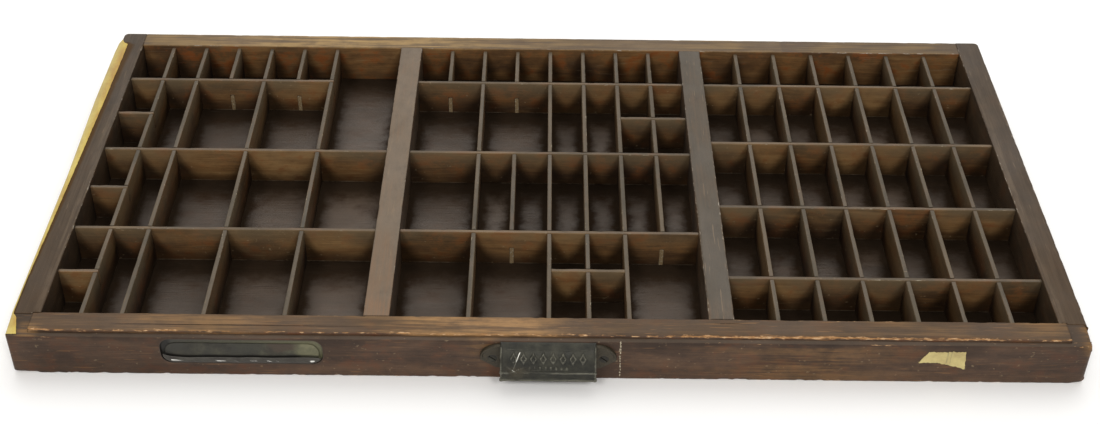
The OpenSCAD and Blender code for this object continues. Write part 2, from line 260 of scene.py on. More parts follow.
def cut(piece, cutters):
    """Takes closed shapes, each (verts, faces), out of a piece."""
    verts, faces = joined(cutters)
    tool = make_object("cutter", verts, faces)
    step = piece.modifiers.new("cut", "BOOLEAN")
    step.operation = "DIFFERENCE"
    step.solver = "EXACT"
    step.object = tool
    old = piece.data
    seen = piece.evaluated_get(bpy.context.evaluated_depsgraph_get())
    piece.data = bpy.data.meshes.new_from_object(seen)
    piece.modifiers.clear()
    bpy.data.meshes.remove(old)
    bpy.data.objects.remove(tool)
    piece.data.shade_smooth()
    piece.data.set_sharp_from_angle(angle=SHARP_ANGLE)


def joined(parts):
    """One list of verts and one of faces for several closed shapes."""
    verts, faces, count = [], [], 0
    for some, their_faces in parts:
        verts.append(np.asarray(some, float))
        faces += [tuple(i + count for i in face) for face in their_faces]
        count += len(some)
    return np.concatenate(verts), faces


def skin(rings, closed_ends=True):
    """A closed shape through rings of as many points each."""
    size = len(rings[0])
    faces = []
    for k in range(len(rings) - 1):
        for i in range(size):
            j = (i + 1) % size
            faces.append((k * size + i, k * size + j, (k + 1) * size + j, (k + 1) * size + i))
    if closed_ends:
        faces.append(tuple(range(size - 1, -1, -1)))
        faces.append(tuple(range((len(rings) - 1) * size, len(rings) * size)))
    return np.concatenate(rings), faces


def between(outer, inner):
    """A closed shape between two grids of points."""
    rows, columns = outer.shape[:2]
    total = rows * columns
    faces = []
    for i in range(rows - 1):
        for j in range(columns - 1):
            a = i * columns + j
            quad = (a, a + 1, a + columns + 1, a + columns)
            faces += [quad, tuple(k + total for k in quad[::-1])]
    edge = list(range(columns)) + [i * columns + columns - 1 for i in range(1, rows)]
    edge += [(rows - 1) * columns + j for j in range(columns - 2, -1, -1)]
    edge += [i * columns for i in range(rows - 2, 0, -1)]
    for a, b in zip(edge, edge[1:] + edge[:1]):
        faces.append((a, b, b + total, a + total))
    return np.concatenate([outer.reshape(-1, 3), inner.reshape(-1, 3)]), faces


def round_outline(width, height, radius, steps=10):
    """Points round a rectangle with round corners, centred on 0, 0."""
    points = []
    for k, (a, b) in enumerate([(1, 1), (-1, 1), (-1, -1), (1, -1)]):
        centre = np.array([a * (width / 2 - radius), b * (height / 2 - radius)])
        for turn in np.linspace(k * 90, k * 90 + 90, steps + 1):
            t = math.radians(turn)
            points.append(centre + radius * np.array([math.cos(t), math.sin(t)]))
    return np.array(points)


def upright(outline, x, y, z):
    """An outline set up as a ring that faces the front."""
    y = np.broadcast_to(y, len(outline))
    return np.stack([outline[:, 0] + x, y, outline[:, 1] + z], 1)


def round_plate(x, z, width, height, radius, near, far):
    """A closed plate with round corners that faces the front."""
    outline = round_outline(width, height, radius)
    return skin([upright(outline, x, near, z), upright(outline, x, far, z)])


def crack(start, end, seed, width=0.45, depth=1.6):
    """A thin, slightly crooked wedge along the top."""
    start, end = np.array(start), np.array(end)
    along = (end - start) / np.linalg.norm(end - start)
    side = np.array([-along[1], along[0]])
    rings = []
    for share in np.linspace(0, 1, 40):
        middle = start + (end - start) * share + side * 0.25 * wave([share * 100], seed, 6)[0]
        half = width / 2 * max(0.1, math.sin(math.pi * share) ** 0.4)
        low = middle + side * 0.1
        rings.append(np.array([(*(middle + side * half), TOP + 1), (*(middle - side * half), TOP + 1),
                               (*(middle - side * half), TOP - 0.2), (*low, TOP - depth),
                               (*(middle + side * half), TOP - 0.2)]))
    return skin(rings)


def nail_hole(centre, axis, depth=0.35):
    """A short round hole that uncovers a nail's head. axis points out of the wood."""
    axis = np.array(axis, float)
    first = np.array([axis[1], axis[2], axis[0]])
    second = np.cross(axis, first)
    turns = turns_round(16)[:, None]
    circle = NAIL_HEAD_R * (np.cos(turns) * first + np.sin(turns) * second)
    return skin([np.array(centre) + circle - axis * depth, np.array(centre) + circle + axis * 2])


def side_marks(length):
    """Shares of a side at which it gets points: close to both ends, and evenly between."""
    if length < 1.5:
        return []
    if length < 8:
        return [0.5]
    near = [1 / length, 3 / length]
    inner = list(np.linspace(near[1], 1 - near[1], int(length // 8) + 2)[1:-1])
    return near + inner + [1 - near[1], 1 - near[0]]


def profile(corners, marks):
    """Points round a closed outline of (u, v, radius) corners, how worn each is, and its corner's number."""
    corners = np.asarray(corners, float)
    count = len(corners)
    points, weights, owners, ends = [], [], [], []
    for i in range(count):
        here, before, after = corners[i, :2], corners[i - 1, :2], corners[(i + 1) % count, :2]
        to_before, to_after = before - here, after - here
        lengths = np.linalg.norm(to_before), np.linalg.norm(to_after)
        reach = [min(corners[i, 2], 0.45 * length) for length in lengths]
        start = here + to_before / max(lengths[0], 1e-6) * reach[0]
        end = here + to_after / max(lengths[1], 1e-6) * reach[1]
        ends.append((start, end))
    for i in range(count):
        here = corners[i, :2]
        start, end = ends[i]
        for t in np.linspace(0, 1, ARC + 1):
            points.append(start * (1 - t) ** 2 + here * 2 * t * (1 - t) + end * t ** 2)
            weights.append(0.75 + 0.25 * math.sin(math.pi * t))
            owners.append(i)
        goal = ends[(i + 1) % count][0]
        length = np.linalg.norm(goal - end)
        for share in marks[i]:
            points.append(end + (goal - end) * share)
            gap = min(share, 1 - share) * length
            weights.append(max(0.0, 0.62 - 0.2 * gap))
            owners.append(i if share < 0.5 else (i + 1) % count)
    return np.array(points), np.array(weights), np.array(owners)


def stations(sections, step, round_off):
    """Places along a piece: at each section, evenly between them, and close together at rounded ends."""
    found = []
    for (low, _), (high, _) in zip(sections, sections[1:]):
        found += list(np.linspace(low, high, max(2, math.ceil((high - low) / step) + 1)))
    first, last = sections[0][0], sections[-1][0]
    for share in (0.12, 0.4, 1.0, 2.5):
        found += [first + round_off[0] * share, last - round_off[1] * share]
    found = np.array(sorted(found))
    return found[np.concatenate([[True], np.diff(found) > 0.004])]


def timber(name, axis, sections, seed, step=4.0, radius_wear=0.12, ends=(0.4, 0.4), wear=None,
           wander=0.12, rough=0.05, flip=False, joint_dirt=0.8, glow=None, end_grain=(False, False),
           kept=None, soil=None, fine=None):
    """A worn length of wood. sections are (place, corners) along the axis, with the same corners each time.
    wear maps a corner's number to a function of place that says how much is worn away there.
    glow is a function of the points, from 0 to 1, that says where they are rubbed bare.
    end_grain says which ends show pale, clean end grain.
    kept maps a corner's number to the share of its edge wear that shows as bare wood.
    soil is a function of the points, from 0 to 1, that says where they are stained dark.
    fine is the number of a side that gets points every millimetre."""
    run = "xy".index(axis)
    places = stations(sections, step, ends)
    given = np.array([s[0] for s in sections])
    stacked = np.array([s[1] for s in sections], float)
    count = stacked.shape[1]
    longest = [max(np.linalg.norm(c[(i + 1) % count, :2] - c[i, :2]) for c in stacked)
               for i in range(count)]
    marks = [side_marks(length) for length in longest]
    if fine is not None:
        marks[fine] = list(np.linspace(0, 1, int(longest[fine]) + 1)[1:-1])
    drift = [wander * wave(places, seed + k, 130) for k in (0.3, 0.7)]
    nibble = 0.5 + 0.5 * wave(places, seed + 0.9, 9)
    erosion = np.tile(radius_wear * nibble, (count, 1))
    for corner, worn_away in (wear or {}).items():
        erosion[corner] += worn_away(places)
    rings, worn, grime_and_shadow, beside = [], [], [], []
    for k, place_now in enumerate(places):
        corners = np.array(
            [[np.interp(place_now, given, stacked[:, c, d]) for d in range(3)] for c in range(count)]
        )
        points, weights, owners = profile(corners, marks)
        tangent = np.roll(points, -1, 0) - np.roll(points, 1, 0)
        normal = np.stack([tangent[:, 1], -tangent[:, 0]], 1)
        normal /= np.maximum(np.linalg.norm(normal, axis=1, keepdims=True), 1e-6)
        inset = weights ** 2 * erosion[owners, k]
        edge = 0.0
        for gap, size in ((place_now - places[0], ends[0]), (places[-1] - place_now, ends[1])):
            if gap < size:
                edge = max(edge, size * (1 - math.sqrt(max(0.0, 1 - (1 - gap / size) ** 2))))
        solid = np.array([[place_now, p[0], p[1]] for p in points])
        bumps = rough * cloud(solid, seed, 14)
        points = points - normal * (inset + edge + np.maximum(bumps, -0.05))[:, None]
        points += np.array([drift[0][k], drift[1][k]])
        rings.append(points)
        off = points[:, 0] + normal[:, 0] * 1.2
        along = np.full(len(off), place_now)
        beside.append(np.stack([along, off] if run == 0 else [off, along], 1))
        chipped = unit(erosion[owners, k] * weights ** 2 / 1.2)
        share = np.array([(kept or {}).get(owner, 1.0) for owner in owners])
        worn.append(np.clip(0.8 * weights + 0.8 * chipped, 0, 1.5) * share)
        near_end = min(place_now - places[0], places[-1] - place_now)
        grime_and_shadow.append(np.full(len(points), joint_dirt * max(0.0, 1 - near_end / 0.9)))
    size = len(rings[0])
    verts, faces = skin([np.insert(ring, run, place_now, 1) for place_now, ring in zip(places, rings)])
    beside = np.concatenate(beside)
    if flip:
        verts[:, 0] *= -1
        beside[:, 0] *= -1
    dirt_and_shade, tone = box_dirt_and_shade(beside, run, seed)
    worn = np.concatenate(worn)
    for shown, ring in zip(end_grain, (slice(0, size), slice(-size, None))):
        if shown:
            dirt_and_shade[ring] = 0.0
            worn[ring] = END_GRAIN_WEAR
    bare_and_glint = glow(verts) if glow else np.zeros(len(verts))
    grime_and_shadow = np.concatenate(grime_and_shadow) + (soil(verts) if soil else 0.0)
    attributes = {"wear": worn, "grime_and_shadow": grime_and_shadow, "dirt_and_shade": dirt_and_shade, "tone": tone, "glow": bare_and_glint}
    return make_object(name, verts, faces, attributes)


# ---------------------------------------------------------------- materials

class Graph:
    """A material's node tree, with short calls for the nodes it needs."""

    def __init__(self, name):
        self.material = bpy.data.materials.new(name)
        self.material.use_nodes = True
        self.tree = self.material.node_tree
        self.shader = self.tree.nodes["Principled BSDF"]

    def node(self, kind, inputs=(), **settings):
        made = self.tree.nodes.new(kind)
        for key, value in settings.items():
            setattr(made, key, value)
        for key, value in dict(inputs).items():
            self.feed(made.inputs[key], value)
        return made

    def feed(self, socket, value):
        if isinstance(value, bpy.types.NodeSocket):
            self.tree.links.new(value, socket)
        elif isinstance(value, (tuple, list)) and len(value) == 3 and socket.type == "RGBA":
            socket.default_value = (*value, 1)
        else:
            socket.default_value = value

    def math(self, operation, a, b, clamp=False):
        made = self.node("ShaderNodeMath", {0: a, 1: b}, operation=operation, use_clamp=clamp)
        return made.outputs[0]

    def plus(self, a, b):
        return self.math("ADD", a, b)

    def minus(self, a, b):
        return self.math("SUBTRACT", a, b)

    def times(self, a, b, clamp=False):
        return self.math("MULTIPLY", a, b, clamp)

    def swing(self, value, size):
        """How far a value is from one half, times size."""
        return self.times(self.minus(value, 0.5), size)

    def part(self, vector, axis):
        """One of a vector's three numbers."""
        return self.node("ShaderNodeSeparateXYZ", {0: vector}).outputs[axis]

    def position(self):
        return self.node("ShaderNodeTexCoord").outputs["Object"]

    def stretched(self, vector, scale, shift=(0, 0, 0), turn=0.0):
        made = self.node("ShaderNodeMapping", {"Vector": vector, "Scale": scale, "Location": shift})
        made.inputs["Rotation"].default_value = (0, 0, turn)
        return made.outputs[0]

    def noise(self, vector, scale=1.0, detail=3.0, rough=0.55, distortion=0.0):
        made = self.node(
            "ShaderNodeTexNoise",
            {"Vector": vector, "Scale": scale, "Detail": detail, "Roughness": rough,
             "Distortion": distortion},
        )
        return made.outputs[0]

    def attribute(self, name):
        return self.node("ShaderNodeAttribute", attribute_name=name).outputs["Fac"]

    def range(self, value, low, high, to_low=0.0, to_high=1.0):
        """value from low..high, taken smoothly to to_low..to_high."""
        made = self.node(
            "ShaderNodeMapRange",
            {"Value": value, "From Min": low, "From Max": high, "To Min": to_low, "To Max": to_high},
            interpolation_type="SMOOTHSTEP",
        )
        return made.outputs[0]

    def ramp(self, value, stops):
        made = self.node("ShaderNodeValToRGB", {"Fac": value})
        ramp = made.color_ramp
        while len(ramp.elements) < len(stops):
            ramp.elements.new(0.5)
        for element, (place_now, colour) in zip(ramp.elements, stops):
            element.position = place_now
            element.color = (*colour, 1)
        return made.outputs[0]

    def mix(self, share, a, b):
        made = self.node("ShaderNodeMix", data_type="RGBA")
        self.feed(made.inputs[0], share)
        self.feed(made.inputs[6], a)
        self.feed(made.inputs[7], b)
        return made.outputs[2]

    def finish(self, colour, roughness, height, depth, specular=0.5):
        bump = self.node("ShaderNodeBump", {"Height": height, "Distance": depth})
        bump.inputs["Strength"].default_value = 1.0
        self.feed(self.shader.inputs["Base Color"], colour)
        self.feed(self.shader.inputs["Roughness"], roughness)
        self.feed(self.shader.inputs["Normal"], bump.outputs[0])
        self.feed(self.shader.inputs["Specular IOR Level"], specular)
        return self.material


# Heights in metres between which a box's walls change: the dust line at their foot, the dirt and painted
# shade above it, the dirt and painted shade in the corners, and the aired wood and painted light towards
# their top
SEAM_Z = (0.0062, 0.0054)
FOOT_Z = (0.005, 0.027)
CORNER_Z = (0.012, 0.037)
AIRED_AND_LIT_Z = (0.016, 0.038)

# Colours on every wood: aired wood and painted light near the top of a slat, dust along its foot, small pale
# flecks, and the tint of the floors' gloss
AIRED_AND_LIT = (0.17, 0.13, 0.075)
SEAM_DUST = (0.16, 0.13, 0.09)
FLECK = (0.36, 0.27, 0.16)
WARM_GLOSS = (1.0, 0.86, 0.74)


def wood(name, grain, seed, dark, mid, light, raw, dust_and_sheen, dust_amount=0.6, gloss=0.45,
         red=0.5, tone=0.0, dirt_and_shade=0.8, patch=(0.2, 0.14, 0.07), patch_amount=0.0, specular=0.35,
         low_dirt_and_shade=0.0, base_line=0.0, aired_and_lit=0.0, flat=False, scratched=0.3, specks=0.0,
         stain=(0.01, 0.008, 0.006)):
    """Old stained wood with its grain along x or y. patch is the colour of the rubbed patches on its top,
    specks is how clear its small pale flecks are, and stain is the colour of its grime and of the painted
    shadow by the tape.
    base_line leaves dust along a slat's foot, the low dirt argument darkens its foot with dirt and painted
    shade, and the aired argument greys and lightens it near its top, partly as painted light. flat wood gets
    its dirt and painted shade on its top too."""
    g = Graph(name)
    here = g.position()
    turn = math.pi / 2 if grain == "y" else 0.0
    shift = (seed * 0.37, seed * 0.61, seed * 0.23)
    along = g.stretched(here, (1, 1, 1), shift, turn)
    fibres = g.noise(g.stretched(along, (30, 900, 900)), detail=5, rough=0.65)
    bands = g.noise(g.stretched(along, (7, 60, 60)), detail=4, distortion=1.6)
    patches = g.noise(g.stretched(along, (0.6, 1, 1)), scale=22, detail=3)
    blots = g.noise(g.stretched(along, (0.7, 1, 1)), scale=75, detail=5, rough=0.7)
    streaks = g.noise(g.stretched(along, (14, 380, 380)), detail=3, rough=0.7)
    flakes = g.noise(g.stretched(along, (160, 700, 700)), detail=3, rough=0.65)
    height_now = g.part(here, 2)
    normal = g.node("ShaderNodeNewGeometry").outputs["Normal"]
    upward = g.range(g.part(normal, 2), 0.55, 0.95)

    own_tone = g.swing(g.attribute("tone"), tone)
    grain_tone = g.plus(g.times(fibres, 0.25), g.times(bands, 0.4))
    grain_tone = g.plus(grain_tone, g.times(blots, 0.35))
    colour = g.ramp(g.plus(grain_tone, own_tone), [(0.33, dark), (0.5, mid), (0.66, light)])
    colour = g.mix(g.range(patches, 0.42, 0.7, 0.0, 0.75), colour, dark)
    reddish = tuple(c * f for c, f in zip(mid, (1.35, 0.8, 0.5)))
    colour = g.mix(g.range(blots, 0.48, 0.68, 0.0, red), colour, reddish)

    exposed = 1.0 if flat else g.minus(1.0, upward)
    # Greyer and paler towards the top of the walls: aired wood and painted light.
    greyed_and_lit = g.times(g.range(height_now, *AIRED_AND_LIT_Z, 0.0, aired_and_lit), exposed)
    greyed_and_lit = g.times(greyed_and_lit, g.range(patches, 0.35, 0.6, 0.4, 1.0))
    colour = g.mix(greyed_and_lit, colour, AIRED_AND_LIT)
    # Darker in the boxes' corners, most towards the foot: dirt and painted shade.
    corners = g.times(g.attribute("dirt_and_shade"), g.range(height_now, *CORNER_Z, 1.0, 0.3))
    soiled_and_shaded = g.plus(corners, g.swing(blots, 0.9))
    # Darker towards the foot of the walls: dirt and painted shade.
    soiled_and_shaded = g.plus(soiled_and_shaded, g.range(height_now, *FOOT_Z, low_dirt_and_shade, 0.0))
    soiled_and_shaded = g.times(g.times(g.range(soiled_and_shaded, 0.1, 0.85), exposed), dirt_and_shade)
    colour = g.mix(soiled_and_shaded, colour, tuple(c * 0.25 for c in dark))
    seam = g.times(g.range(height_now, *SEAM_Z), g.range(blots, 0.4, 0.62, 0.0, base_line))
    colour = g.mix(g.times(seam, exposed), colour, SEAM_DUST)

    dusty = g.times(upward, g.range(blots, 0.2, 0.6, 0.65, 1.0))
    colour = g.mix(g.times(dusty, dust_amount), colour, dust_and_sheen)
    bare_and_glint = g.plus(g.times(patches, 0.6), g.times(streaks, 0.4))
    bare_and_glint = g.times(g.range(bare_and_glint, 0.47, 0.66, 0.0, patch_amount), upward)
    colour = g.mix(bare_and_glint, colour, patch)
    rubbed = g.times(g.attribute("glow"), g.range(streaks, 0.36, 0.6, 0.1, 1.0))
    rubbed = g.times(rubbed, g.range(blots, 0.3, 0.6, 0.45, 1.0))
    colour = g.mix(rubbed, colour, patch)

    ragged = g.plus(g.swing(flakes, 2.2), g.swing(streaks, 1.6))
    worn = g.range(g.plus(g.attribute("wear"), ragged), 0.95, 1.35)
    colour = g.mix(worn, colour, raw)
    pale = tuple(min(1.0, c * f + 0.05) for c, f in zip(raw, (1.4, 1.7, 2.2)))
    colour = g.mix(g.times(worn, g.range(flakes, 0.55, 0.66)), colour, pale)
    scratches = g.noise(g.stretched(along, (45, 600, 600), (3, 1, 0), 0.04), detail=1)
    colour = g.mix(g.range(scratches, 0.68, 0.74, 0.0, scratched), colour, raw)
    specked = g.noise(g.stretched(along, (300, 420, 420), (9, 4, 2)), detail=2, rough=0.4)
    colour = g.mix(g.range(specked, 0.7, 0.76, 0.0, specks), colour, FLECK)
    grime_and_shadow = g.times(g.attribute("grime_and_shadow"), 0.85, clamp=True)
    colour = g.mix(grime_and_shadow, colour, stain)
    rough = g.plus(g.range(patches, 0.3, 0.7, gloss - 0.08, gloss + 0.12), g.times(dusty, 0.1))
    height = g.plus(g.times(fibres, 0.5), g.times(blots, 0.5))
    height = g.minus(height, g.times(worn, 0.25))
    if flat:
        specular = g.range(soiled_and_shaded, 0.0, 0.8, specular, 0.0)
        g.feed(g.shader.inputs["Specular Tint"], WARM_GLOSS)
    else:
        specular = g.range(grime_and_shadow, 0.0, 0.7, specular, 0.3 * specular)
    return g.finish(colour, rough, height, 0.0006, specular)


def plain_metal(name, colour, light, roughness, metallic, seed):
    """Bare metal in two tones."""
    g = Graph(name)
    here = g.stretched(g.position(), (1, 1, 1), (seed, seed * 0.3, 0))
    grain = g.noise(here, scale=900, detail=4)
    patches = g.noise(here, scale=90, detail=4)
    mixed = g.mix(g.range(patches, 0.35, 0.7), colour, light)
    rough = g.range(patches, 0.3, 0.7, roughness - 0.08, roughness + 0.12)
    g.shader.inputs["Metallic"].default_value = metallic
    return g.finish(mixed, rough, g.plus(grain, patches), 0.0002)


def metal(name, seed, dark, mid, light, bare_and_glint, stain, roughness, metallic, rim=(0.05, 0.032, 0.022)):
    """Old painted or cast metal, bare where the attribute wear says and bright where it is high; on the
    holder's lip the bare patches are painted highlights, and on the pull's scratches partly so. Stained where
    glow says, the colour of its rim where tone says, clean where clean says, and black where the grime and
    shadow attribute says: painted shadow in the holder's pan, and a darker lip."""
    g = Graph(name)
    here = g.stretched(g.position(), (1, 1, 1), (seed, seed * 0.3, 0))
    grain = g.noise(here, scale=1500, detail=4, rough=0.7)
    patches = g.noise(here, scale=110, detail=5, rough=0.65)
    streaks = g.noise(g.stretched(here, (60, 200, 900)), detail=3)
    colour = g.ramp(patches, [(0.32, dark), (0.52, mid), (0.72, light)])
    colour = g.mix(g.range(grain, 0.55, 0.75, 0.0, 0.35), colour, light)
    stained = g.times(g.attribute("glow"), g.range(grain, 0.35, 0.6))
    colour = g.mix(stained, colour, stain)
    colour = g.mix(g.attribute("clean"), colour, CLEAN_METAL)
    colour = g.mix(g.attribute("tone"), colour, rim)
    colour = g.mix(g.attribute("grime_and_shadow"), colour, GRIME_AND_SHADOW_BLACK)
    ragged = g.plus(g.swing(grain, 1.1), g.swing(streaks, 1.3))
    worn = g.range(g.plus(g.attribute("wear"), ragged), 0.55, 1.0)
    colour = g.mix(worn, colour, bare_and_glint)
    colour = g.mix(g.range(g.attribute("wear"), 1.3, 1.9), colour, BRIGHT_METAL_AND_GLINT)
    rough = g.range(patches, 0.3, 0.7, roughness - 0.08, roughness + 0.12)
    rough = g.minus(rough, g.times(worn, 0.14))
    g.shader.inputs["Metallic"].default_value = metallic
    height = g.plus(grain, g.times(patches, 0.5))
    return g.finish(colour, rough, height, 0.0003)


def paper(name, seed):
    """Brittle yellowed tape: paler where the attribute tone is low."""
    g = Graph(name)
    here = g.stretched(g.position(), (1, 1, 1), (seed, 0, seed))
    fibres = g.noise(here, scale=1300, detail=4)
    blots = g.noise(g.stretched(here, (1, 0.35, 1)), scale=60, detail=5, rough=0.7)
    deep, yellow, light = (0.4, 0.22, 0.03), (0.51, 0.36, 0.06), (0.62, 0.49, 0.12)
    dull, faded = (0.35, 0.285, 0.12), (0.56, 0.47, 0.215)
    fibre, crease = (0.35, 0.28, 0.12), (0.26, 0.23, 0.12)
    strong = g.ramp(blots, [(0.36, deep), (0.5, yellow), (0.64, light)])
    pale = g.ramp(blots, [(0.3, dull), (0.7, faded)])
    colour = g.mix(g.attribute("tone"), pale, strong)
    colour = g.mix(g.range(fibres, 0.55, 0.75, 0.0, 0.4), colour, fibre)
    colour = g.mix(g.attribute("wear"), colour, crease)
    return g.finish(colour, g.range(blots, 0.3, 0.7, 0.45, 0.7), g.plus(fibres, blots), 0.0003)


CLEAN_METAL = (0.12, 0.115, 0.065)
BRIGHT_METAL_AND_GLINT = (0.6, 0.59, 0.53)
GRIME_AND_SHADOW_BLACK = (0.005, 0.004, 0.003)
IRON = {"dark": (0.011, 0.011, 0.008), "mid": (0.025, 0.024, 0.0165), "light": (0.052, 0.05, 0.035),
        "bare_and_glint": (0.105, 0.101, 0.076), "stain": (0.06, 0.045, 0.025), "roughness": 0.42, "metallic": 0.45}
# The holder's tin: its bare colour paints the glints on the lip's ridge.
TIN = {"dark": (0.035, 0.031, 0.026), "mid": (0.06, 0.056, 0.046), "light": (0.1, 0.094, 0.078),
       "bare_and_glint": (0.75, 0.74, 0.7), "stain": (0.074, 0.071, 0.055), "roughness": 0.42, "metallic": 0.3}

RAIL_TONES = {"dark": (0.026, 0.017, 0.011), "mid": (0.055, 0.036, 0.021), "light": (0.1, 0.067, 0.038),
              "raw": (0.2, 0.14, 0.085), "dust_and_sheen": (0.061, 0.042, 0.026)}
SLAT_TONES = {"dark": (0.046, 0.024, 0.012), "mid": (0.15, 0.077, 0.029), "light": (0.26, 0.152, 0.062),
              "raw": (0.2, 0.14, 0.074), "dust_and_sheen": (0.118, 0.105, 0.078)}
FRONT_TONES = {"dark": (0.026, 0.0155, 0.0105), "mid": (0.066, 0.037, 0.022), "light": (0.115, 0.065, 0.036),
               "raw": (0.34, 0.17, 0.06), "dust_and_sheen": (0.1, 0.066, 0.041)}
PANEL_TONES = {"dark": (0.014, 0.008, 0.0045), "mid": (0.034, 0.02, 0.0115), "light": (0.064, 0.041, 0.025),
               "raw": (0.09, 0.07, 0.055), "dust_and_sheen": (0.05, 0.034, 0.022)}


def darker(tones, share):
    """The same tones darkened by share, with the same raw and top colours."""
    return {k: c if k in ("dust_and_sheen", "raw") else tuple(v * share for v in c) for k, c in tones.items()}


# ---------------------------------------------------------------- frame

def tape_width(y):
    """How far the tape on the left rail reaches in from the case's side."""
    given = [-209, -205, -198, -192, -189, -185, -150, -120, -60, 20, 100, 170, 192, 194, 199.5]
    widths = [7.9, 7.0, 5.4, 4.0, 1.5, 0.5, 1.0, 2.0, 3.2, 4.8, 6.2, 7.2, 7.0, 3.0, 0.6]
    return np.maximum(np.interp(y, given, widths) + torn(y, 31, 0.3), 0.25)


def side_rail(name, seed, flip, tones):
    """A side rail, made as the left one and mirrored for the right."""
    def corners(inner, rebate, out):
        return [(out - X_END, 0, 0.6), (-PANEL_X, 0, HIDDEN_R), (-PANEL_X, rebate, HIDDEN_R),
                (inner, rebate, HIDDEN_R), (inner, TOP, 0.9), (out - X_END, TOP, 1.6)]

    sections = [(RAIL_FRONT, corners(-STRIP_X, BOTTOM_T, 0)),
                (INNER_FRONT - STEP, corners(-STRIP_X, BOTTOM_T, 0)),
                (INNER_FRONT, corners(-INNER_X, BOTTOM_T, 0)),
                (PANEL_BACK, corners(-INNER_X, BOTTOM_T, 0)),
                (PANEL_BACK + STEP, corners(-INNER_X, NO_RISE, 0))]
    for share in np.linspace(0, 0.94, 7):
        out = CORNER_R - math.sqrt(CORNER_R ** 2 - (CORNER_R * share) ** 2)
        sections.append((Y_BACK - CORNER_R * (1 - share), corners(-INNER_X, NO_RISE, out)))
    sections.append((Y_BACK, corners(-INNER_X, NO_RISE, CORNER_R * 0.75)))

    def handled(points):
        x, y, z = np.abs(points[:, 0]), points[:, 1], points[:, 2]
        return (0.15 + 0.5 * hump(x, INNER_X + 3, 2.2, 1.2) * unit(1.2 - y / 160)) * (z > TOP - 1)

    def stained(points):
        x, y, z = points.T
        front = 0.3 * unit(0.1 - y / 190)
        if flip:
            return front * (z > TOP - 1)
        # A dark line along the tape's torn inner edge: glue stain and painted shadow of the lifted tape.
        beyond = x + X_END - tape_width(y)
        spread = np.interp(y, [-150, -60, 60, 150, 190], [1.2, 2.2, 3.0, 3.6, 5.0])
        glue_and_shadow = unit(1.6 - np.abs(beyond) / spread) * (y < 197)
        return np.maximum(glue_and_shadow, front) * (z > TOP - 1)

    wear = {5: bites(seed, 26, 5, 0.35), 4: bites(seed + 1, 16, 4, 0.4), 0: bites(seed + 2, 10, 4, 0.5)}
    piece = timber(name, "y", sections, seed, step=3.0, wear=wear, ends=(0.15, 0.8), flip=flip,
                   wander=0.06, joint_dirt=0.1, glow=handled, soil=stained, fine=4)
    side = 1 if flip else -1
    cut(piece, [nail_hole((side * X_END, CORNER_NAIL_Y, z), (side, 0, 0), 0.6) for z in CORNER_NAILS_Z])
    material = wood(name, "y", seed, **tones, patch=(0.125, 0.09, 0.058), patch_amount=0.25,
                    specular=0.26, stain=(0.07, 0.034, 0.009))
    return place(piece, [name], material)


def back_rail(name="back_rail", seed=23):
    corners = [(PANEL_BACK, 0, HIDDEN_R), (Y_BACK, 0, 0.8), (Y_BACK, TOP, 1.2), (INNER_BACK, TOP, 0.8),
               (INNER_BACK, BOTTOM_T, HIDDEN_R), (PANEL_BACK, BOTTOM_T, HIDDEN_R)]
    wear = {2: bites(seed, 30, 5, 0.3), 3: bites(seed + 1, 34, 4, 0.6)}

    def rubbed(points):
        share = bell(points[:, 0], -180, 120) + 0.25 * (points[:, 0] < 220)
        return unit(share) * (points[:, 2] > TOP - 1)

    def smoked(points):
        return 0.6 * (points[:, 1] > PANEL_BACK + 2) * (points[:, 2] < TOP - 1.5)

    piece = timber(name, "x", [(-INNER_X, corners), (INNER_X, corners)], seed, step=3.0, wear=wear,
                   wander=0.06, glow=rubbed, soil=smoked)
    tones = {**SLAT_TONES, "raw": RAIL_TONES["raw"], "dust_and_sheen": (0.088, 0.064, 0.042)}
    material = wood(name, "x", seed, **tones, dust_amount=0.88, patch=(0.34, 0.22, 0.09),
                    patch_amount=0.45, red=0.9, low_dirt_and_shade=0.3, specular=0.26)
    return place(piece, [name], material)


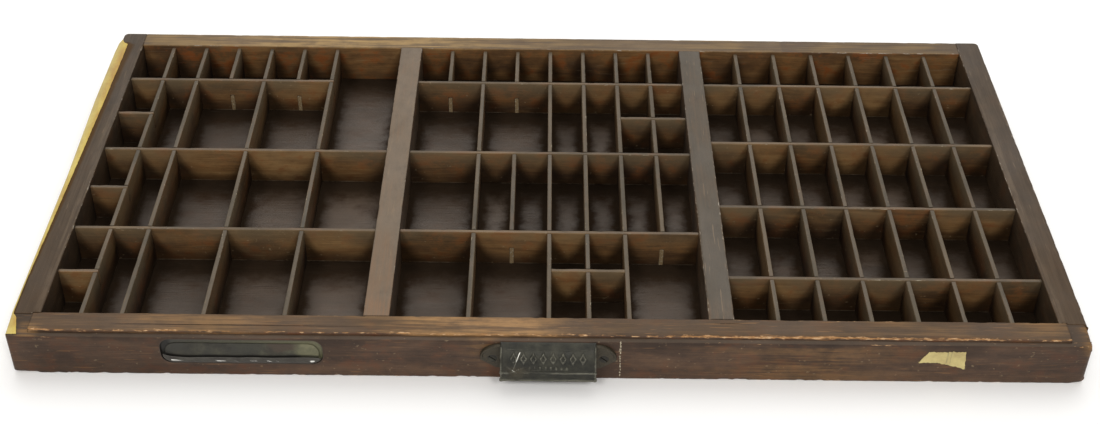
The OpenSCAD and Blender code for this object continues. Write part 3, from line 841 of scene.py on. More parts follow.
def front_board(name="front_board", seed=31):
    def outline(back, rebate, behind, floor):
        return [(Y_FRONT, 0, 1.0), (PANEL_FRONT, 0, HIDDEN_R), (PANEL_FRONT, rebate, HIDDEN_R),
                (back, rebate, HIDDEN_R), (back, behind, 0.05), (STRIP_FRONT, floor, HIDDEN_R),
                (STRIP_FRONT, BOARD_TOP, 0.3), (Y_FRONT, BOARD_TOP, 1.4)]

    end = outline(RAIL_FRONT, NO_RISE, BLOCK_TOP, BOARD_TOP + NO_RISE)
    near = outline(RAIL_FRONT, BOTTOM_T, BLOCK_TOP, BOARD_TOP + NO_RISE)
    middle = outline(INNER_FRONT, BOTTOM_T, STRIP_BOTTOM, STRIP_BOTTOM)
    half = [(STRIP_X, middle), (STRIP_X + STEP, near), (PANEL_X, near), (PANEL_X + STEP, end), (X_END, end)]
    sections = [(-x, corners_there) for x, corners_there in half[::-1]] + half

    def bottom(s):
        corner = 3.2 * unit(1 - (s + X_END) / 20) + 2.6 * unit(1 - (X_END - s) / 10)
        return chips(s, seed, 34, 3, 0.9) + 0.2 * (1 + wave(s, seed + 4, 4)) + corner

    def stained(points):
        x, y, z = points.T
        beside_pull = 0.6 * bell(x, -52, 14) * unit((z - 8) / 30)
        corner = bell(x, -STRIP_X, 8, 4) * (z > 37.6) * unit((-195 - y) / 5)
        corner += bell(x, X_END, 6) * unit((z - 22) / 10)
        brown = 0.42 * bell(x, 195, 70) * (z < 36)
        return unit(beside_pull + corner + brown)

    def dull_ends(points):
        x = points[:, 0]
        return 0.22 * unit((x - 330) / 60) + 0.26 * unit((-230 - x) / 60)

    def top(s):
        return chips(s, seed + 1, 40, 3, 0.5) + 4.5 * unit(1 - (X_END - s) / 12) ** 1.5

    wear = {0: bottom, 7: top}
    piece = timber(name, "x", sections, seed, step=2.0, wear=wear, ends=(1.6, 3.4), glow=stained,
                   joint_dirt=0.0, kept={7: 0.72}, soil=dull_ends)
    cut(piece, [round_plate(PAN_X, PAN_Z, PAN_W, PAN_H, PAN_R, Y_FRONT - 3, Y_FRONT + PAN_D)])
    tones = {**FRONT_TONES, "dust_and_sheen": (0.078, 0.056, 0.038)}
    material = wood(name, "x", seed, **tones, dust_amount=0.7, red=0.5, dirt_and_shade=0.0,
                    patch=(0.24, 0.13, 0.05), scratched=0.2, specular=0.22, specks=0.28)
    return place(piece, [name], material)


def front_strip(name="front_top_strip", seed=37):
    corners = [(STRIP_FRONT, STRIP_BOTTOM, 0.3), (INNER_FRONT, STRIP_BOTTOM, 0.3),
               (INNER_FRONT, TOP, 0.8), (STRIP_FRONT, TOP, 1.6)]

    def rubbed(points):
        x = points[:, 0]
        middle = bell(x, -55, 62, 4)
        left = 0.3 * bell(x, -262, 72, 4)
        corner = bell(x, -STRIP_X, 8) * (points[:, 1] < -200)
        share = unit(middle + left + corner + 0.3 * wave(x, seed, 40))
        return share * (points[:, 2] > TOP - 2.5)

    def front_arris(s):
        rubbed_through = 1.15 * hump(s, 205, 110, 40) * (1 + 0.35 * wave(s, seed + 3, 45))
        corner = 1.6 * bell(s, -STRIP_X, 5)
        bitten = chips(s, seed, 90, 5, 0.8)
        bitten *= 1 - 0.45 * hump(s, -150, 190, 30) - 0.6 * hump(s, 205, 110, 40)
        uneven = 0.3 * (1 + wave(s, seed, 25)) * np.clip(1 + s / 300, 0.3, 1)
        return bitten + rubbed_through + corner + uneven

    wear = {3: front_arris, 2: bites(seed + 1, 30, 5, 0.5)}
    piece = timber(name, "x", [(-STRIP_X, corners), (STRIP_X, corners)], seed, step=2.0, wear=wear,
                   ends=(0.6, 0.6), glow=rubbed)
    cut(piece, [crack((-332, -199.2), (-138, -199.4), seed, 0.6),
                crack((124, -192), (145.5, -191.5), seed + 1)])
    tones = {**FRONT_TONES, "dust_and_sheen": (0.1, 0.062, 0.031)}
    material = wood(name, "x", seed, **tones, dust_amount=0.55, red=0.7, patch=(0.34, 0.19, 0.075),
                    patch_amount=0.3, specular=0.25)
    return place(piece, [name], material)


def bar(name, seed, dust_and_sheen, patch_amount, rubbed, bruised):
    """A bar between two thirds. rubbed and bruised say how worn its front end and its left arris are."""
    low, high = BOX[name]
    corners = [(low[0], BOTTOM_T, HIDDEN_R), (high[0], BOTTOM_T, HIDDEN_R), (high[0], TOP, 0.9),
               (low[0], TOP, 0.9)]

    def left_arris(s):
        return chips(s, seed, 20, 4, 0.7) + bruised * hump(s, -110, 60, 30) * (1 + wave(s, seed + 2, 12))

    def handled(points):
        y, z = points[:, 1], points[:, 2]
        return rubbed * hump(y, -186, 12, 14) * (z > TOP - 1)

    wear = {3: left_arris, 2: bites(seed + 1, 16, 4, 0.5)}
    piece = timber(name, "y", [(INNER_FRONT, corners), (INNER_BACK, corners)], seed, step=3.0, wear=wear,
                   joint_dirt=0.4, glow=handled)
    tones = {**RAIL_TONES, "dust_and_sheen": dust_and_sheen}
    material = wood(name, "y", seed, **tones, dust_amount=0.75, patch=(0.2, 0.115, 0.062),
                    patch_amount=patch_amount, scratched=0.5)
    return place(piece, [name], material)


# ---------------------------------------------------------------- slats

def meets(cross, deep):
    """Whether a left-to-right slat and a front-to-back slat cross or touch."""
    x = BOX[deep][:, 0].mean()
    y = BOX[cross][:, 1].mean()
    return BOX[cross][0, 0] < x < BOX[cross][1, 0] and BOX[deep][0, 1] < y < BOX[deep][1, 1]


def slat(name, seed):
    """A slat with the notches of its half-laps, at the places where it meets others."""
    low, high = BOX[name]
    across = name in CROSS
    run, side = (0, 1) if across else (1, 0)
    notches = []
    for other in DEEP if across else CROSS:
        if meets(name, other) if across else meets(other, name):
            near, far = BOX[other][:, run]
            notches.append((near - (LAP_PLAY if across else NOTCH_PLAY), far + LAP_PLAY))

    def corners(notched):
        bottom = SLAT_MID + LAP_PLAY if across and notched else BOTTOM_T
        top = SLAT_MID if notched and not across else SLAT_TOP
        return [(low[side], bottom, 0.15), (high[side], bottom, 0.15), (high[side], top, 0.7),
                (low[side], top, 0.7)]

    start, end = low[run], high[run]
    sections = [(start, corners(any(a < start for a, b in notches)))]
    for a, b in sorted(notches):
        if a > start + GAP_DIRT_W:
            sections.append((a - GAP_DIRT_W, corners(False)))
        if a > start:
            sections += [(a, corners(False)), (a + STEP, corners(True))]
        if b < end:
            sections += [(b - STEP, corners(True)), (b, corners(False))]
        if b < end - GAP_DIRT_W:
            sections.append((b + GAP_DIRT_W, corners(False)))
    sections.append((end, corners(any(b > end for a, b in notches))))
    wear = {3: bites(seed, 5, 3, 0.5), 2: bites(seed + 1, 5, 3, 0.5)}

    def gap_dirt(points):
        """Dirt in the joints, on the slats whose tops are cut through."""
        gaps = [np.abs(points[:, run] - edge) for notch in notches for edge in notch]
        near = np.min(gaps, axis=0) if gaps and not across else np.full(len(points), GAP_DIRT_W)
        return 0.8 * unit(1 - near / GAP_DIRT_W) * (points[:, 2] > SLAT_TOP - 3)

    through = [not across and any(abs(BOX[c][k, 1] - (start, end)[k]) < 0.5 and meets(c, name)
                                  for c in CROSS) for k in (0, 1)]
    return timber(name, "xy"[run], sections, seed, step=5.0, wear=wear, ends=(0.15, 0.15), wander=0.08,
                  rough=0.08, radius_wear=0.15, joint_dirt=0.0, end_grain=through,
                  kept={2: 0.85, 3: 0.85}, soil=gap_dirt)


def slats():
    tones = []
    # Painted shade: the front-to-back slats, whose sides turn away from the front light, get the same wood at
    # half brightness.
    for axis, share in (("x", 1.0), ("y", 0.5)):
        for k in range(4):
            tones.append(wood(f"slat_{axis}_{k}", axis, 50 + 7 * k + (3 if axis == "y" else 0),
                              **darker(SLAT_TONES, share), tone=0.2, red=0.6, low_dirt_and_shade=0.65,
                              base_line=0.6, aired_and_lit=0.55, scratched=0.15, specular=0.3, specks=0.3))
    for number, name in enumerate(CROSS + DEEP):
        group = tones[:4] if name in CROSS else tones[4:]
        place(slat(name, 100 + number), [name], group[number % 4])


def floor_panel(name="bottom_panel", seed=5):
    """The bottom: a fine grid on top, so that dirt and painted shade can follow the boxes' corners, and nail
    holes below.
    """
    columns = np.linspace(-PANEL_X, PANEL_X, 268)
    rows = np.linspace(PANEL_FRONT, PANEL_BACK, 135)
    x, y = np.meshgrid(columns, rows, indexing="ij")
    flat = np.stack([x.ravel(), y.ravel()], 1)
    gap_x, column = corner_gap(flat, 0)
    gap_y, row = corner_gap(flat, 1)
    # Darker near the walls, and most just in front of the wall behind: dirt and painted shade.
    dirt_and_shade = np.maximum(np.exp(-np.minimum(gap_x, gap_y) / 10.0), 1.15 * np.exp(-room_behind(flat) / 28.0))
    tone = dice(column.astype(float), row.astype(float), seed)
    sag = 0.15 * cloud(np.stack([flat[:, 0], flat[:, 1], 0 * flat[:, 0]], 1), seed, 70)
    verts = [(a, b, BOTTOM_T + c) for (a, b), c in zip(flat, sag)]
    verts += [(-PANEL_X, PANEL_FRONT, 0), (PANEL_X, PANEL_FRONT, 0), (PANEL_X, PANEL_BACK, 0),
              (-PANEL_X, PANEL_BACK, 0)]
    m, n = len(columns), len(rows)
    number = np.arange(m * n).reshape(m, n)
    faces = [(number[i, j], number[i + 1, j], number[i + 1, j + 1], number[i, j + 1])
             for i in range(m - 1) for j in range(n - 1)]
    base = m * n
    faces += [(*number[::-1, 0], base, base + 1), (*number[:, -1], base + 2, base + 3),
              (*number[0], base + 3, base), (*number[-1, ::-1], base + 1, base + 2),
              (base + 3, base + 2, base + 1, base)]
    attributes = {"dirt_and_shade": np.append(dirt_and_shade, [0] * 4), "tone": np.append(tone, [0.5] * 4)}
    piece = make_object(name, verts, faces, attributes)
    nails = [(x_nail, y_nail) for x_nail in LONG_NAILS_X for y_nail in LONG_NAILS_Y]
    nails += [(side * x_nail, y_nail) for x_nail in WIDE_NAILS_X for y_nail in WIDE_NAILS_Y
              for side in (-1, 1)]
    cut(piece, [nail_hole((*nail, 0), (0, 0, -1)) for nail in nails])
    material = wood("panel", "x", seed, **PANEL_TONES, gloss=0.33, tone=0.4, dust_amount=0.35,
                    specular=0.55, flat=True, scratched=0.15)
    return place(piece, [name], material)


# ---------------------------------------------------------------- fittings

def outward(points):
    """Unit normals of a grid of points."""
    found = np.cross(np.gradient(points, axis=0), np.gradient(points, axis=1))
    return found / np.maximum(np.linalg.norm(found, axis=2, keepdims=True), 1e-9)


def cup_skin(half, out, up):
    """Grid of points on the cup: rows from its lower edge up to the board, and round from cheek to cheek."""
    rows = []
    for angle in np.linspace(0, math.radians(88), 56):
        depth = out * math.cos(angle)
        bend = min(1.4, 0.4 * depth)
        cheek = np.linspace(0, depth - bend, 8)[:-1]
        turn = np.linspace(0, math.pi / 2, 5)[:-1]
        face = np.linspace(-half + bend, half - bend, 150)
        across = [np.full(len(cheek), -half), -half + bend * (1 - np.sin(math.pi / 2 - turn)), face]
        away = [cheek, depth - bend + bend * np.sin(turn), np.full(len(face), depth)]
        across += [-across[1][::-1], -across[0]]
        away += [away[1][::-1], cheek[::-1]]
        across, away = np.concatenate(across), np.concatenate(away)
        height = np.full(len(across), PULL_Z + up * math.sin(angle))
        rows.append(np.stack([PULL_X + across, Y_FRONT - away, height], 1))
    return np.array(rows)


def cup_relief(x, z):
    """Height of the casting's relief, where x is from the cup's middle and z from its lower edge."""
    ribs = 0.7 * hump(np.abs(x), PULL_W / 2 - 0.8, 0.35, 0.5)
    lip = 0.9 * hump(z, 0, 1.2, 1.2) + 0.7 * hump(z, 7.3, 0.5, 0.6)
    border = 0.3 * np.maximum(hump(z, 9.4, 0.25, 0.3), hump(z, 23.6, 0.25, 0.3)) * (np.abs(x) < 31)
    relief = np.zeros_like(x)
    for centre in np.linspace(-26, 26, 8):
        gap = np.abs(x - centre) / 3.3 + np.abs(z - 18.2) / 4.7
        relief += 0.95 * unit((1 - gap) / 0.3) - 0.8 * unit((0.55 - gap) / 0.25)
    for centre in np.linspace(-14, 14, 8):
        relief += 0.7 * hump(x, centre, 0.7, 0.4) * hump(z, 11.5, 1.0, 0.5)
    return ribs + lip + border + np.maximum(relief, 0)


def ear(side):
    """An ear of the pull: a flat plate round its countersunk hole, with a raised upper rim."""
    centre = np.array([EAR_SCREW_X, EAR_SCREW_Z])
    bow = [(EAR_L * math.sin(a), 12 + 12 * math.cos(a)) for a in np.linspace(0, math.pi / 2, 13)]
    outline = np.array([(-1, 24)] + bow + [(EAR_L, 9), (4, 1), (-1, 1)]) - centre
    turns = turns_round(72)
    reach = []
    for turn in turns:
        ray = np.array([math.cos(turn), math.sin(turn)])
        hits = []
        for a, b in zip(outline, np.roll(outline, -1, 0)):
            matrix = np.array([ray, a - b]).T
            if abs(np.linalg.det(matrix)) > 1e-9:
                along, share = np.linalg.solve(matrix, a)
                if along > 0 and -1e-6 <= share <= 1 + 1e-6:
                    hits.append(along)
        reach.append(min(hits))
    reach = np.array(reach)
    upper = unit(np.sin(turns) * 2 + 0.5)
    steps = [(reach, 0.0), (reach, EAR_T - 0.5), (reach - 0.4, EAR_T + 0.6 * upper),
             (reach - 1.3, EAR_T + 0.8 * upper), (reach - 2.1, EAR_T + 0 * upper)]
    inner = reach - 2.1
    for share in (0.4, 0.8):
        steps.append((inner + (HEAD_R - inner) * share, EAR_T + 0 * upper))
    steps += [(HEAD_R, EAR_T), (HEAD_R - 0.15, EAR_T - 0.1), (SHANK_R, 0.4), (SHANK_R, 0.0)]
    rings = []
    for radius, height in steps:
        radius = np.broadcast_to(radius, turns.shape)
        x = PULL_X + side * (PULL_W / 2 + centre[0] + radius * np.cos(turns))
        z = PULL_Z + centre[1] + radius * np.sin(turns)
        height = np.broadcast_to(height, turns.shape) + 0.12 * wave(x * 3 + z, 61, 5) * (radius > HEAD_R)
        rings.append(np.stack([x, Y_FRONT - height, z], 1))
    return skin(rings + [rings[0]], closed_ends=False)


def drawer_pull(name="drawer_pull"):
    outer = cup_skin(PULL_W / 2, PULL_OUT, PULL_H)
    inner = cup_skin(PULL_W / 2 - PULL_T, PULL_OUT - PULL_T, PULL_H - PULL_T)
    normal = outward(outer)
    normal *= np.sign((normal * (outer - inner)).sum(2))[:, :, None]
    x, z = outer[:, :, 0] - PULL_X, outer[:, :, 2] - PULL_Z
    front = (np.abs(x) < PULL_W / 2 - 0.05) * hump(z, 12, 12, 1.5)
    cast = cloud(outer.reshape(-1, 3), 71, 4).reshape(x.shape)
    dents = cloud(outer.reshape(-1, 3), 72, 15).reshape(x.shape)
    battered = bell(x, -24, 8) * bell(z, 8, 6)
    height = cup_relief(x, z) * (1 - 0.5 * battered) * front
    height += (0.2 * cast + 0.3 * dents + battered * 1.1 * cast) * hump(z, 12, 10, 4)
    grid = outer + normal * height[:, :, None]
    verts, faces = joined([between(grid, inner), ear(-1), ear(1)])
    # A diagonal scratch and scars on the battered ridges, bright as bare metal: real scratches and painted
    # highlights.
    scratch_and_glint = hump(x + 22.1 + 0.41 * (20.5 - z) + 0.5 * cast, 0, 0.1, 0.45) * hump(z, 15.5, 6, 1.5)
    scratch_and_glint *= hump(z, 20.5, 1.5, 4) + 0.72
    scar_and_glint = hump(x + 27.5 + 1.5 * (z - 9.5) + cast, 0, 0.15, 0.6) * hump(z, 9.5, 2.2, 1.5)
    scar_and_glint += hump(x + 25.5 - 2.2 * (z - 8.5) + cast, 0, 0.15, 0.7) * hump(z, 9, 2, 1.5)
    raised = (np.clip(height / 0.8, 0, 0.9) + 2 * scratch_and_glint + 1.45 * scar_and_glint).ravel()
    rest = len(verts) - len(raised)
    wear = np.concatenate([raised, np.zeros(rest)])
    glow = np.concatenate([(0.8 * battered * hump(z, 6, 5, 3)).ravel(), np.zeros(len(raised)),
                           np.full(rest - len(raised), 0.9)])
    piece = make_object("pull_cup", verts, faces, {"wear": wear, "glow": glow})
    return place(piece, [name], metal("iron_pull", 5, **IRON))


def pan_ring(inset, depth):
    """A ring round the pan of the card holder, in from its outline and back from the front."""
    radius = max(PAN_R - inset, 0.6)
    outline = round_outline(PAN_W - 2 * inset, PAN_H - 2 * inset, radius, 12)
    return upright(outline, PAN_X, Y_FRONT + depth, PAN_Z)


def lip_head(x):
    """Height of the lip's bent upper edge at x."""
    curl = 2.6 * np.exp(-(x - PAN_X + PAN_W / 2 - 2.2) / 3.5)
    return PAN_Z - PAN_H / 2 + LIP_H + 1.5 * wave(x, 81, 21) + curl


def pan_lip():
    """The rolled lip in front of the card, from the pan's lower rim up to its bent upper edge."""
    along = np.linspace(-1, 1, 140)
    x = PAN_X + along * (PAN_W / 2 - 2.2)
    round_end = unit((np.abs(along) * PAN_W / 2 - (PAN_W / 2 - PAN_R)) / (PAN_R + 0.4))
    foot = -PAN_H / 2 + 0.5 + (PAN_R - 1) * (1 - np.sqrt(unit(1 - round_end ** 2)))
    head = lip_head(x) - PAN_Z
    bulge = 1.25 + 0.3 * wave(x, 82, 7)
    rows = []
    for share in np.linspace(0, 1, 13):
        out = bulge * math.sin(math.pi * share) ** 0.7 + 0.35 * share ** 3
        dent = (0.3 * wave(x + 40 * share, 83, 3.2) + 0.2 * wave(x - 25 * share, 84, 1.7)) * math.sin(
            math.pi * share)
        z = PAN_Z + foot + (head - foot) * share
        rows.append(np.stack([x, Y_FRONT + 0.35 - out - dent, z], 1))
    return np.array(rows)


def card_holder(name="card_holder"):
    steps = [(0.0, PAN_D), (0.0, 0.2), (0.1, -0.02), (0.35, -0.1), (0.6, 0.0), (0.75, 0.4), (0.8, 1.3),
             (1.1, 2.0), (1.9, PAN_D - SHEET), (6.0, PAN_D - SHEET + 0.05), (11.0, PAN_D - SHEET)]
    pan = skin([pan_ring(inset, depth) for inset, depth in steps])
    ring_size = len(pan[0]) // len(steps)
    rim = np.repeat([float(inset < 0.9) for inset, _ in steps], ring_size)
    back = np.repeat([float(inset > 1.0) for inset, _ in steps], ring_size)
    pan_x = pan[0][:, 0] - PAN_X
    clean = back * unit((pan_x - 37) / 7)
    # Painted shadow: a dark crescent in the pan's left end, under the rim.
    shadow = (np.abs(pan[0][:, 1] - Y_FRONT - 1.6) < 1.5) * unit((-52 - pan_x) / 3)
    outer = pan_lip()
    normal = outward(outer)
    normal *= np.sign(-normal[:, :, 1].mean())
    lip = between(outer, outer - normal * 0.7)
    verts, faces = joined([pan, lip])
    x, z = outer[:, :, 0], outer[:, :, 2]
    # Painted highlights: bright bare tin along the lip's ridge, a streak at its left end, a spot at its right
    # and specks between, for the glints on the rolled lip.
    ridge = hump(np.linspace(0, 1, len(outer)), 0.52, 0.05, 0.16)[:, None] * np.ones_like(x)
    bare_and_glint = 1.1 * unit(1 - (x - PAN_X + 54) / 16) * (x > PAN_X - 54)
    bare_and_glint += 1.1 * bell(x, PAN_X + 53, 2)
    specks = unit(wave(x.ravel() + 2 * z.ravel(), 86, 2.0)).reshape(x.shape)
    bare_and_glint = ridge * unit(bare_and_glint + 2.2 * specks * hump(x, PAN_X - 2, 22, 14) + 0.1)
    padding = np.zeros(len(verts) - 2 * x.size)
    wear = np.concatenate([padding, bare_and_glint.ravel(), bare_and_glint.ravel()])
    nothing = np.zeros(2 * x.size)
    attributes = {"wear": wear, "glow": np.concatenate([back, nothing]),
                  "tone": np.concatenate([rim, nothing + 0.15]), "clean": np.concatenate([clean, nothing]),
                  "grime_and_shadow": np.concatenate([0.85 * shadow, nothing + 0.25])}
    piece = make_object("card_pan", verts, faces, attributes)
    return place(piece, [name], metal("holder_tin", 7, **TIN))


def label_card(name="label_card"):
    """The card, slightly bowed, with a clean end where it was never handled."""
    low, high = BOX[name]
    size = high - low
    centre = (low + high) / 2
    grids = []
    corner = 8.0
    for depth in (low[1], high[1]):
        rows = []
        for share in np.linspace(-1, 1, 25):
            rise = max(0.0, abs(share) * size[2] / 2 - 1.0)
            drop = corner - math.sqrt(max(0.0, corner ** 2 - rise ** 2))
            x = centre[0] + np.linspace(-1, 1, 110) * (size[0] / 2 - drop)
            bow = 0.16 * np.cos((x - centre[0]) / size[0] * math.pi) + 0.05 * wave(x + 9 * share, 92, 12)
            bow = (bow + 0.4) * min(1.0, 1.4 * (1 - share)) - 0.4
            rows.append(np.stack([x, depth - bow, np.full(len(x), centre[2] + share * size[2] / 2)], 1))
        grids.append(np.array(rows))
    verts, faces = between(*grids)
    stain = 0.5 * cloud(verts, 91, 6)
    clean = unit((verts[:, 0] - (PAN_X + 38)) / 6 + stain)
    # Painted shadow: a dark line along the card just above the lip's bent edge.
    above = verts[:, 2] - lip_head(verts[:, 0])
    shadow = 0.9 * unit(1.6 - above) * unit(1.3 - 0.5 * clean)
    piece = make_object("card", verts, faces, {"tone": clean, "grime_and_shadow": shadow})
    g = Graph("card")
    here = g.position()
    fibres = g.noise(g.stretched(here, (1, 1, 1)), scale=1400, detail=4)
    blots = g.noise(here, scale=75, detail=5, rough=0.7)
    clouds = g.noise(g.stretched(here, (1, 1, 1), (0.4, 0.2, 0)), scale=32, detail=2)
    dim, dull, pale = (0.024, 0.022, 0.017), (0.044, 0.041, 0.03), (0.075, 0.072, 0.05)
    brown, grey = (0.06, 0.042, 0.03), (0.033, 0.032, 0.027)
    olive, clear = (0.075, 0.073, 0.043), (0.145, 0.138, 0.083)
    aged = g.ramp(blots, [(0.36, dim), (0.5, dull), (0.66, pale)])
    aged = g.mix(g.range(clouds, 0.5, 0.62, 0.0, 0.7), aged, brown)
    aged = g.mix(g.range(clouds, 0.48, 0.38, 0.0, 0.7), aged, grey)
    fresh = g.ramp(blots, [(0.34, olive), (0.62, clear)])
    colour = g.mix(g.attribute("tone"), aged, fresh)
    # Black where the painted shadow lies.
    colour = g.mix(g.attribute("grime_and_shadow"), colour, (0.006, 0.005, 0.004))
    height = g.plus(fibres, blots)
    material = g.finish(colour, g.range(blots, 0.3, 0.7, 0.55, 0.8), height, 0.0002, 0.3)
    return place(piece, [name], material, body="card")


def side_tape(name="side_tape"):
    """Tape on the left rail's outer top edge, folded down its outer face, and over the front board's end."""
    y = np.unique(np.concatenate([np.linspace(-209, 199.5, 260), np.linspace(-191, -187, 24)]))
    puffed = np.interp(y, [-15, 45, 98, 178, 194, 199], [0, 1.3, 2.5, 2.2, 1.6, 0])
    width = tape_width(y)
    top = np.interp(y, [-209, STRIP_FRONT, RAIL_FRONT - 0.3, RAIL_FRONT + 0.3],
                    [BOARD_TOP + 0.2, BOARD_TOP + 0.25, BLOCK_TOP + 0.2, TOP + 0.2])
    fall = 17.5 + torn(y, 33, 0.8)
    rows = []
    bend = 1.1
    for share in np.linspace(0, 1, 9):
        lift = 0.35 * unit(cloud_line(y, 35, 9 + 4 * share)) * (1 - share)
        rows.append((-X_END + bend + (width - bend) * (1 - share), top + lift))
    for angle in np.linspace(15, 90, 6):
        t = math.radians(angle)
        rows.append((-X_END + bend - (bend + 0.2 + puffed) * math.sin(t), top - bend + bend * math.cos(t)))
    for share in np.linspace(0.08, 1, 14):
        crease = 0.22 * unit(cloud_line(y, 37, 6 + 9 * share))
        rows.append((-X_END - 0.2 - crease - puffed * (1 - share) ** 1.5, top - bend - (fall - bend) * share))
    grid = np.array([np.stack([x, y, z], 1) for x, z in rows])
    normal = outward(grid)
    normal *= np.sign(normal[0, :, 2].mean())
    verts, faces = between(grid + normal * 0.12, grid - normal * 0.1)
    shades = np.concatenate([np.linspace(1, 0.6, 9), np.linspace(0.4, 0, 20)])
    piece = make_object("rail_tape", verts, faces, {"tone": np.tile(np.repeat(shades, y.size), 2)})
    return place(piece, [name], paper("tape", 13))


def cloud_line(values, seed, shift):
    """Two sizes of smooth noise along a list of numbers."""
    return wave(values + shift * 3, seed, 7) + 0.5 * wave(values + shift * 2, seed + 1, 2.5)


def tape_scrap(name="tape_scrap"):
    """A torn scrap of the tape on the front, creased where it was folded."""
    lower = np.array([(279.6, 20.7), (287, 20.6), (294.4, 20.9), (301, 18.6), (308.8, 16.7), (315.7, 13.9)])
    upper = np.array([(279.6, 20.9), (282.8, 26.5), (286.5, 32.1), (294, 31.4), (303, 32.3), (313.9, 31.9)])
    share = np.linspace(0, 1, 90)
    edges = []
    for k, line in enumerate((lower, upper)):
        run = np.concatenate([[0], np.cumsum(np.linalg.norm(np.diff(line, axis=0), axis=1))])
        at = share * run[-1]
        edge = np.stack([np.interp(at, run, line[:, 0]), np.interp(at, run, line[:, 1])], 1)
        edge[:, 1] += torn(at, 41 + k, 0.7) * unit(share * 20)
        edges.append(edge)
    rows, creases = [], []
    for t in np.linspace(0, 1, 20):
        flat = edges[0] * (1 - t) + edges[1] * t
        flat[:, 0] += torn(np.full(len(flat), 30 * t), 43, 0.4) * share ** 20
        fold = np.maximum(hump(flat[:, 0], 300.6, 0.05, 0.6), 0.8 * hump(flat[:, 0], 303.4, 0.05, 0.5))
        lift = 0.22 + 0.4 * fold + 0.12 * wave(flat[:, 0] + 9 * t, 44, 4) + 0.5 * (1 - share) ** 12
        creases.append(0.75 * fold * hump(wave(flat[:, 0] * 0 + 37 * t, 45, 9), 0.4, 0.5, 0.3))
        rows.append(np.stack([flat[:, 0], Y_FRONT - lift, flat[:, 1]], 1))
    grid = np.array(rows)
    verts, faces = between(grid, grid + np.array([0, 0.14, 0]))
    piece = make_object("scrap", verts, faces, {"tone": np.full(len(verts), 0.15),
                                               "wear": np.tile(np.concatenate(creases), 2)})
    return place(piece, [name], paper("scrap", 17))


def paint_run():
    """A thin run of white paint down the front, in broken drops, from the strip to the lower edge."""
    rng = np.random.default_rng(5)
    parts = []
    turns = turns_round(10)
    z = 39.0
    while z > 2.6:
        length = min(rng.uniform(0.7, 3.4), z - 2.2)
        x = 52.7 + (39.7 - z) * 0.02 + rng.uniform(-0.25, 0.25)
        half = rng.uniform(0.4, 0.75) * (1.4 if 26 < z < 33 else 1.0)
        rings = []
        for share in np.linspace(0, 1, 8):
            bulge = math.sin(math.pi * min(max(share, 0.04), 0.96)) ** 0.5
            rings.append(np.stack([x + half * bulge * np.cos(turns) + 0.1 * math.sin(9 * share + z),
                                   Y_FRONT + 0.25 - 0.55 * bulge * (0.5 + 0.5 * np.sin(turns)),
                                   np.full(len(turns), z - length * share)], 1))
        parts.append(skin(rings))
        z -= length + rng.uniform(-0.3, 0.9)
    verts, faces = joined(parts)
    piece = make_object("paint_run", verts, faces)
    g = Graph("old_paint")
    blots = g.noise(g.position(), scale=900, detail=3)
    dirty, white = (0.17, 0.135, 0.085), (0.5, 0.43, 0.31)
    colour = g.ramp(blots, [(0.38, dirty), (0.6, white)])
    material = g.finish(colour, g.range(blots, 0.3, 0.7, 0.4, 0.65), blots, 0.0002)
    return place(piece, [], material)


# ---------------------------------------------------------------- scene

def cad_materials():
    """Better materials for the CAD nodes that keep their own meshes."""
    steel = plain_metal("nail_steel", colour=(0.08, 0.07, 0.06), light=(0.2, 0.17, 0.14),
                        roughness=0.5, metallic=0.8, seed=3)
    iron = metal("iron_screws", 6, **{**IRON, "mid": (0.02, 0.017, 0.012)})
    looks = {"bottom_nails": steel, "corner_nails": steel, "pull_screws": iron}
    for name, material in looks.items():
        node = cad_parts[name]
        node.data.materials.clear()
        node.data.materials.append(material)


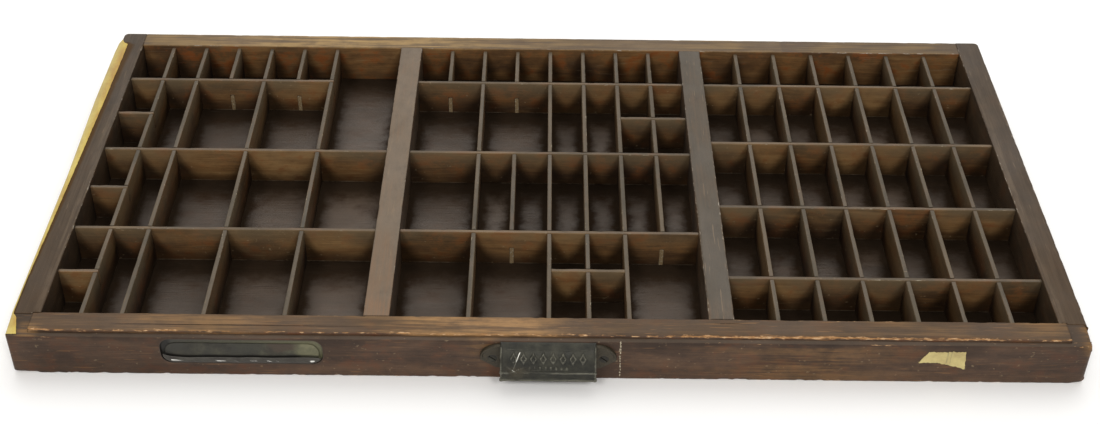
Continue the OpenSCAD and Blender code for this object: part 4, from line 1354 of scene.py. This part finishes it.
def stage():
    """The plain pale floor, a little under the case."""
    floor_mesh = bpy.data.meshes.new("floor")
    size = 30.0
    floor_mesh.from_pydata([(-size, -size, 0), (size, -size, 0), (size, size, 0), (-size, size, 0)], [],
                           [(0, 1, 2, 3)])
    floor = bpy.data.objects.new("floor", floor_mesh)
    bpy.context.scene.collection.objects.link(floor)
    floor.location.z = -0.0002
    material = bpy.data.materials.new("floor")
    material.use_nodes = True
    shader = material.node_tree.nodes["Principled BSDF"]
    shader.inputs["Base Color"].default_value = (0.94, 0.94, 0.94, 1)
    shader.inputs["Roughness"].default_value = 0.9
    floor.data.materials.append(material)


def sun(name, toward, strength, angle, colour=(1, 1, 1)):
    """A far, soft light that shines from a direction and looks angle degrees wide."""
    light = bpy.data.lights.new(name, "SUN")
    light.energy = strength
    light.angle = math.radians(angle)
    light.color = colour
    made = bpy.data.objects.new(name, light)
    made.rotation_euler = Vector(toward).to_track_quat("Z", "Y").to_euler()
    bpy.context.scene.collection.objects.link(made)


def lights():
    world = bpy.data.worlds.new("studio")
    bpy.context.scene.world = world
    world.use_nodes = True
    background = world.node_tree.nodes["Background"]
    background.inputs["Color"].default_value = (1.0, 0.985, 0.96, 1)
    background.inputs["Strength"].default_value = 0.55
    warm = (1.0, 0.98, 0.95)
    sun("front_left", (-0.42, -0.85, 0.95), strength=0.9, angle=14, colour=warm)
    sun("front_right", (0.46, -0.85, 0.95), strength=0.88, angle=14, colour=warm)
    sun("back_soft", (0.05, 0.8, 1.1), strength=1.1, angle=60)
    bpy.context.scene.view_settings.view_transform = "Standard"


def camera():
    """The camera at the photograph's viewing angle."""
    data = bpy.data.cameras.new("camera")
    data.lens = data.sensor_width * FOCAL_LENGTH / IMAGE_WIDTH
    made = bpy.data.objects.new("camera", data)
    made.location = CAMERA_PLACE
    made.rotation_euler = CAMERA_TURN
    bpy.context.scene.collection.objects.link(made)
    bpy.context.scene.camera = made


side_rail("left_side_rail", 11, flip=False, tones=darker(RAIL_TONES, 0.8))
side_rail("right_side_rail", 17, flip=True, tones=RAIL_TONES)
back_rail()
front_board()
front_strip()
# Partly painted sheen: the left bar's top colour is paler than the right's to stand for the sheen on it.
bar("left_bar", 41, dust_and_sheen=(0.183, 0.135, 0.09), patch_amount=0.5, rubbed=0.8, bruised=0.0)
bar("right_bar", 43, dust_and_sheen=(0.09, 0.074, 0.053), patch_amount=0.25, rubbed=0.2, bruised=1.1)
slats()
floor_panel()
drawer_pull()
card_holder()
label_card()
side_tape()
tape_scrap()
paint_run()
cad_materials()
stage()
lights()
camera()
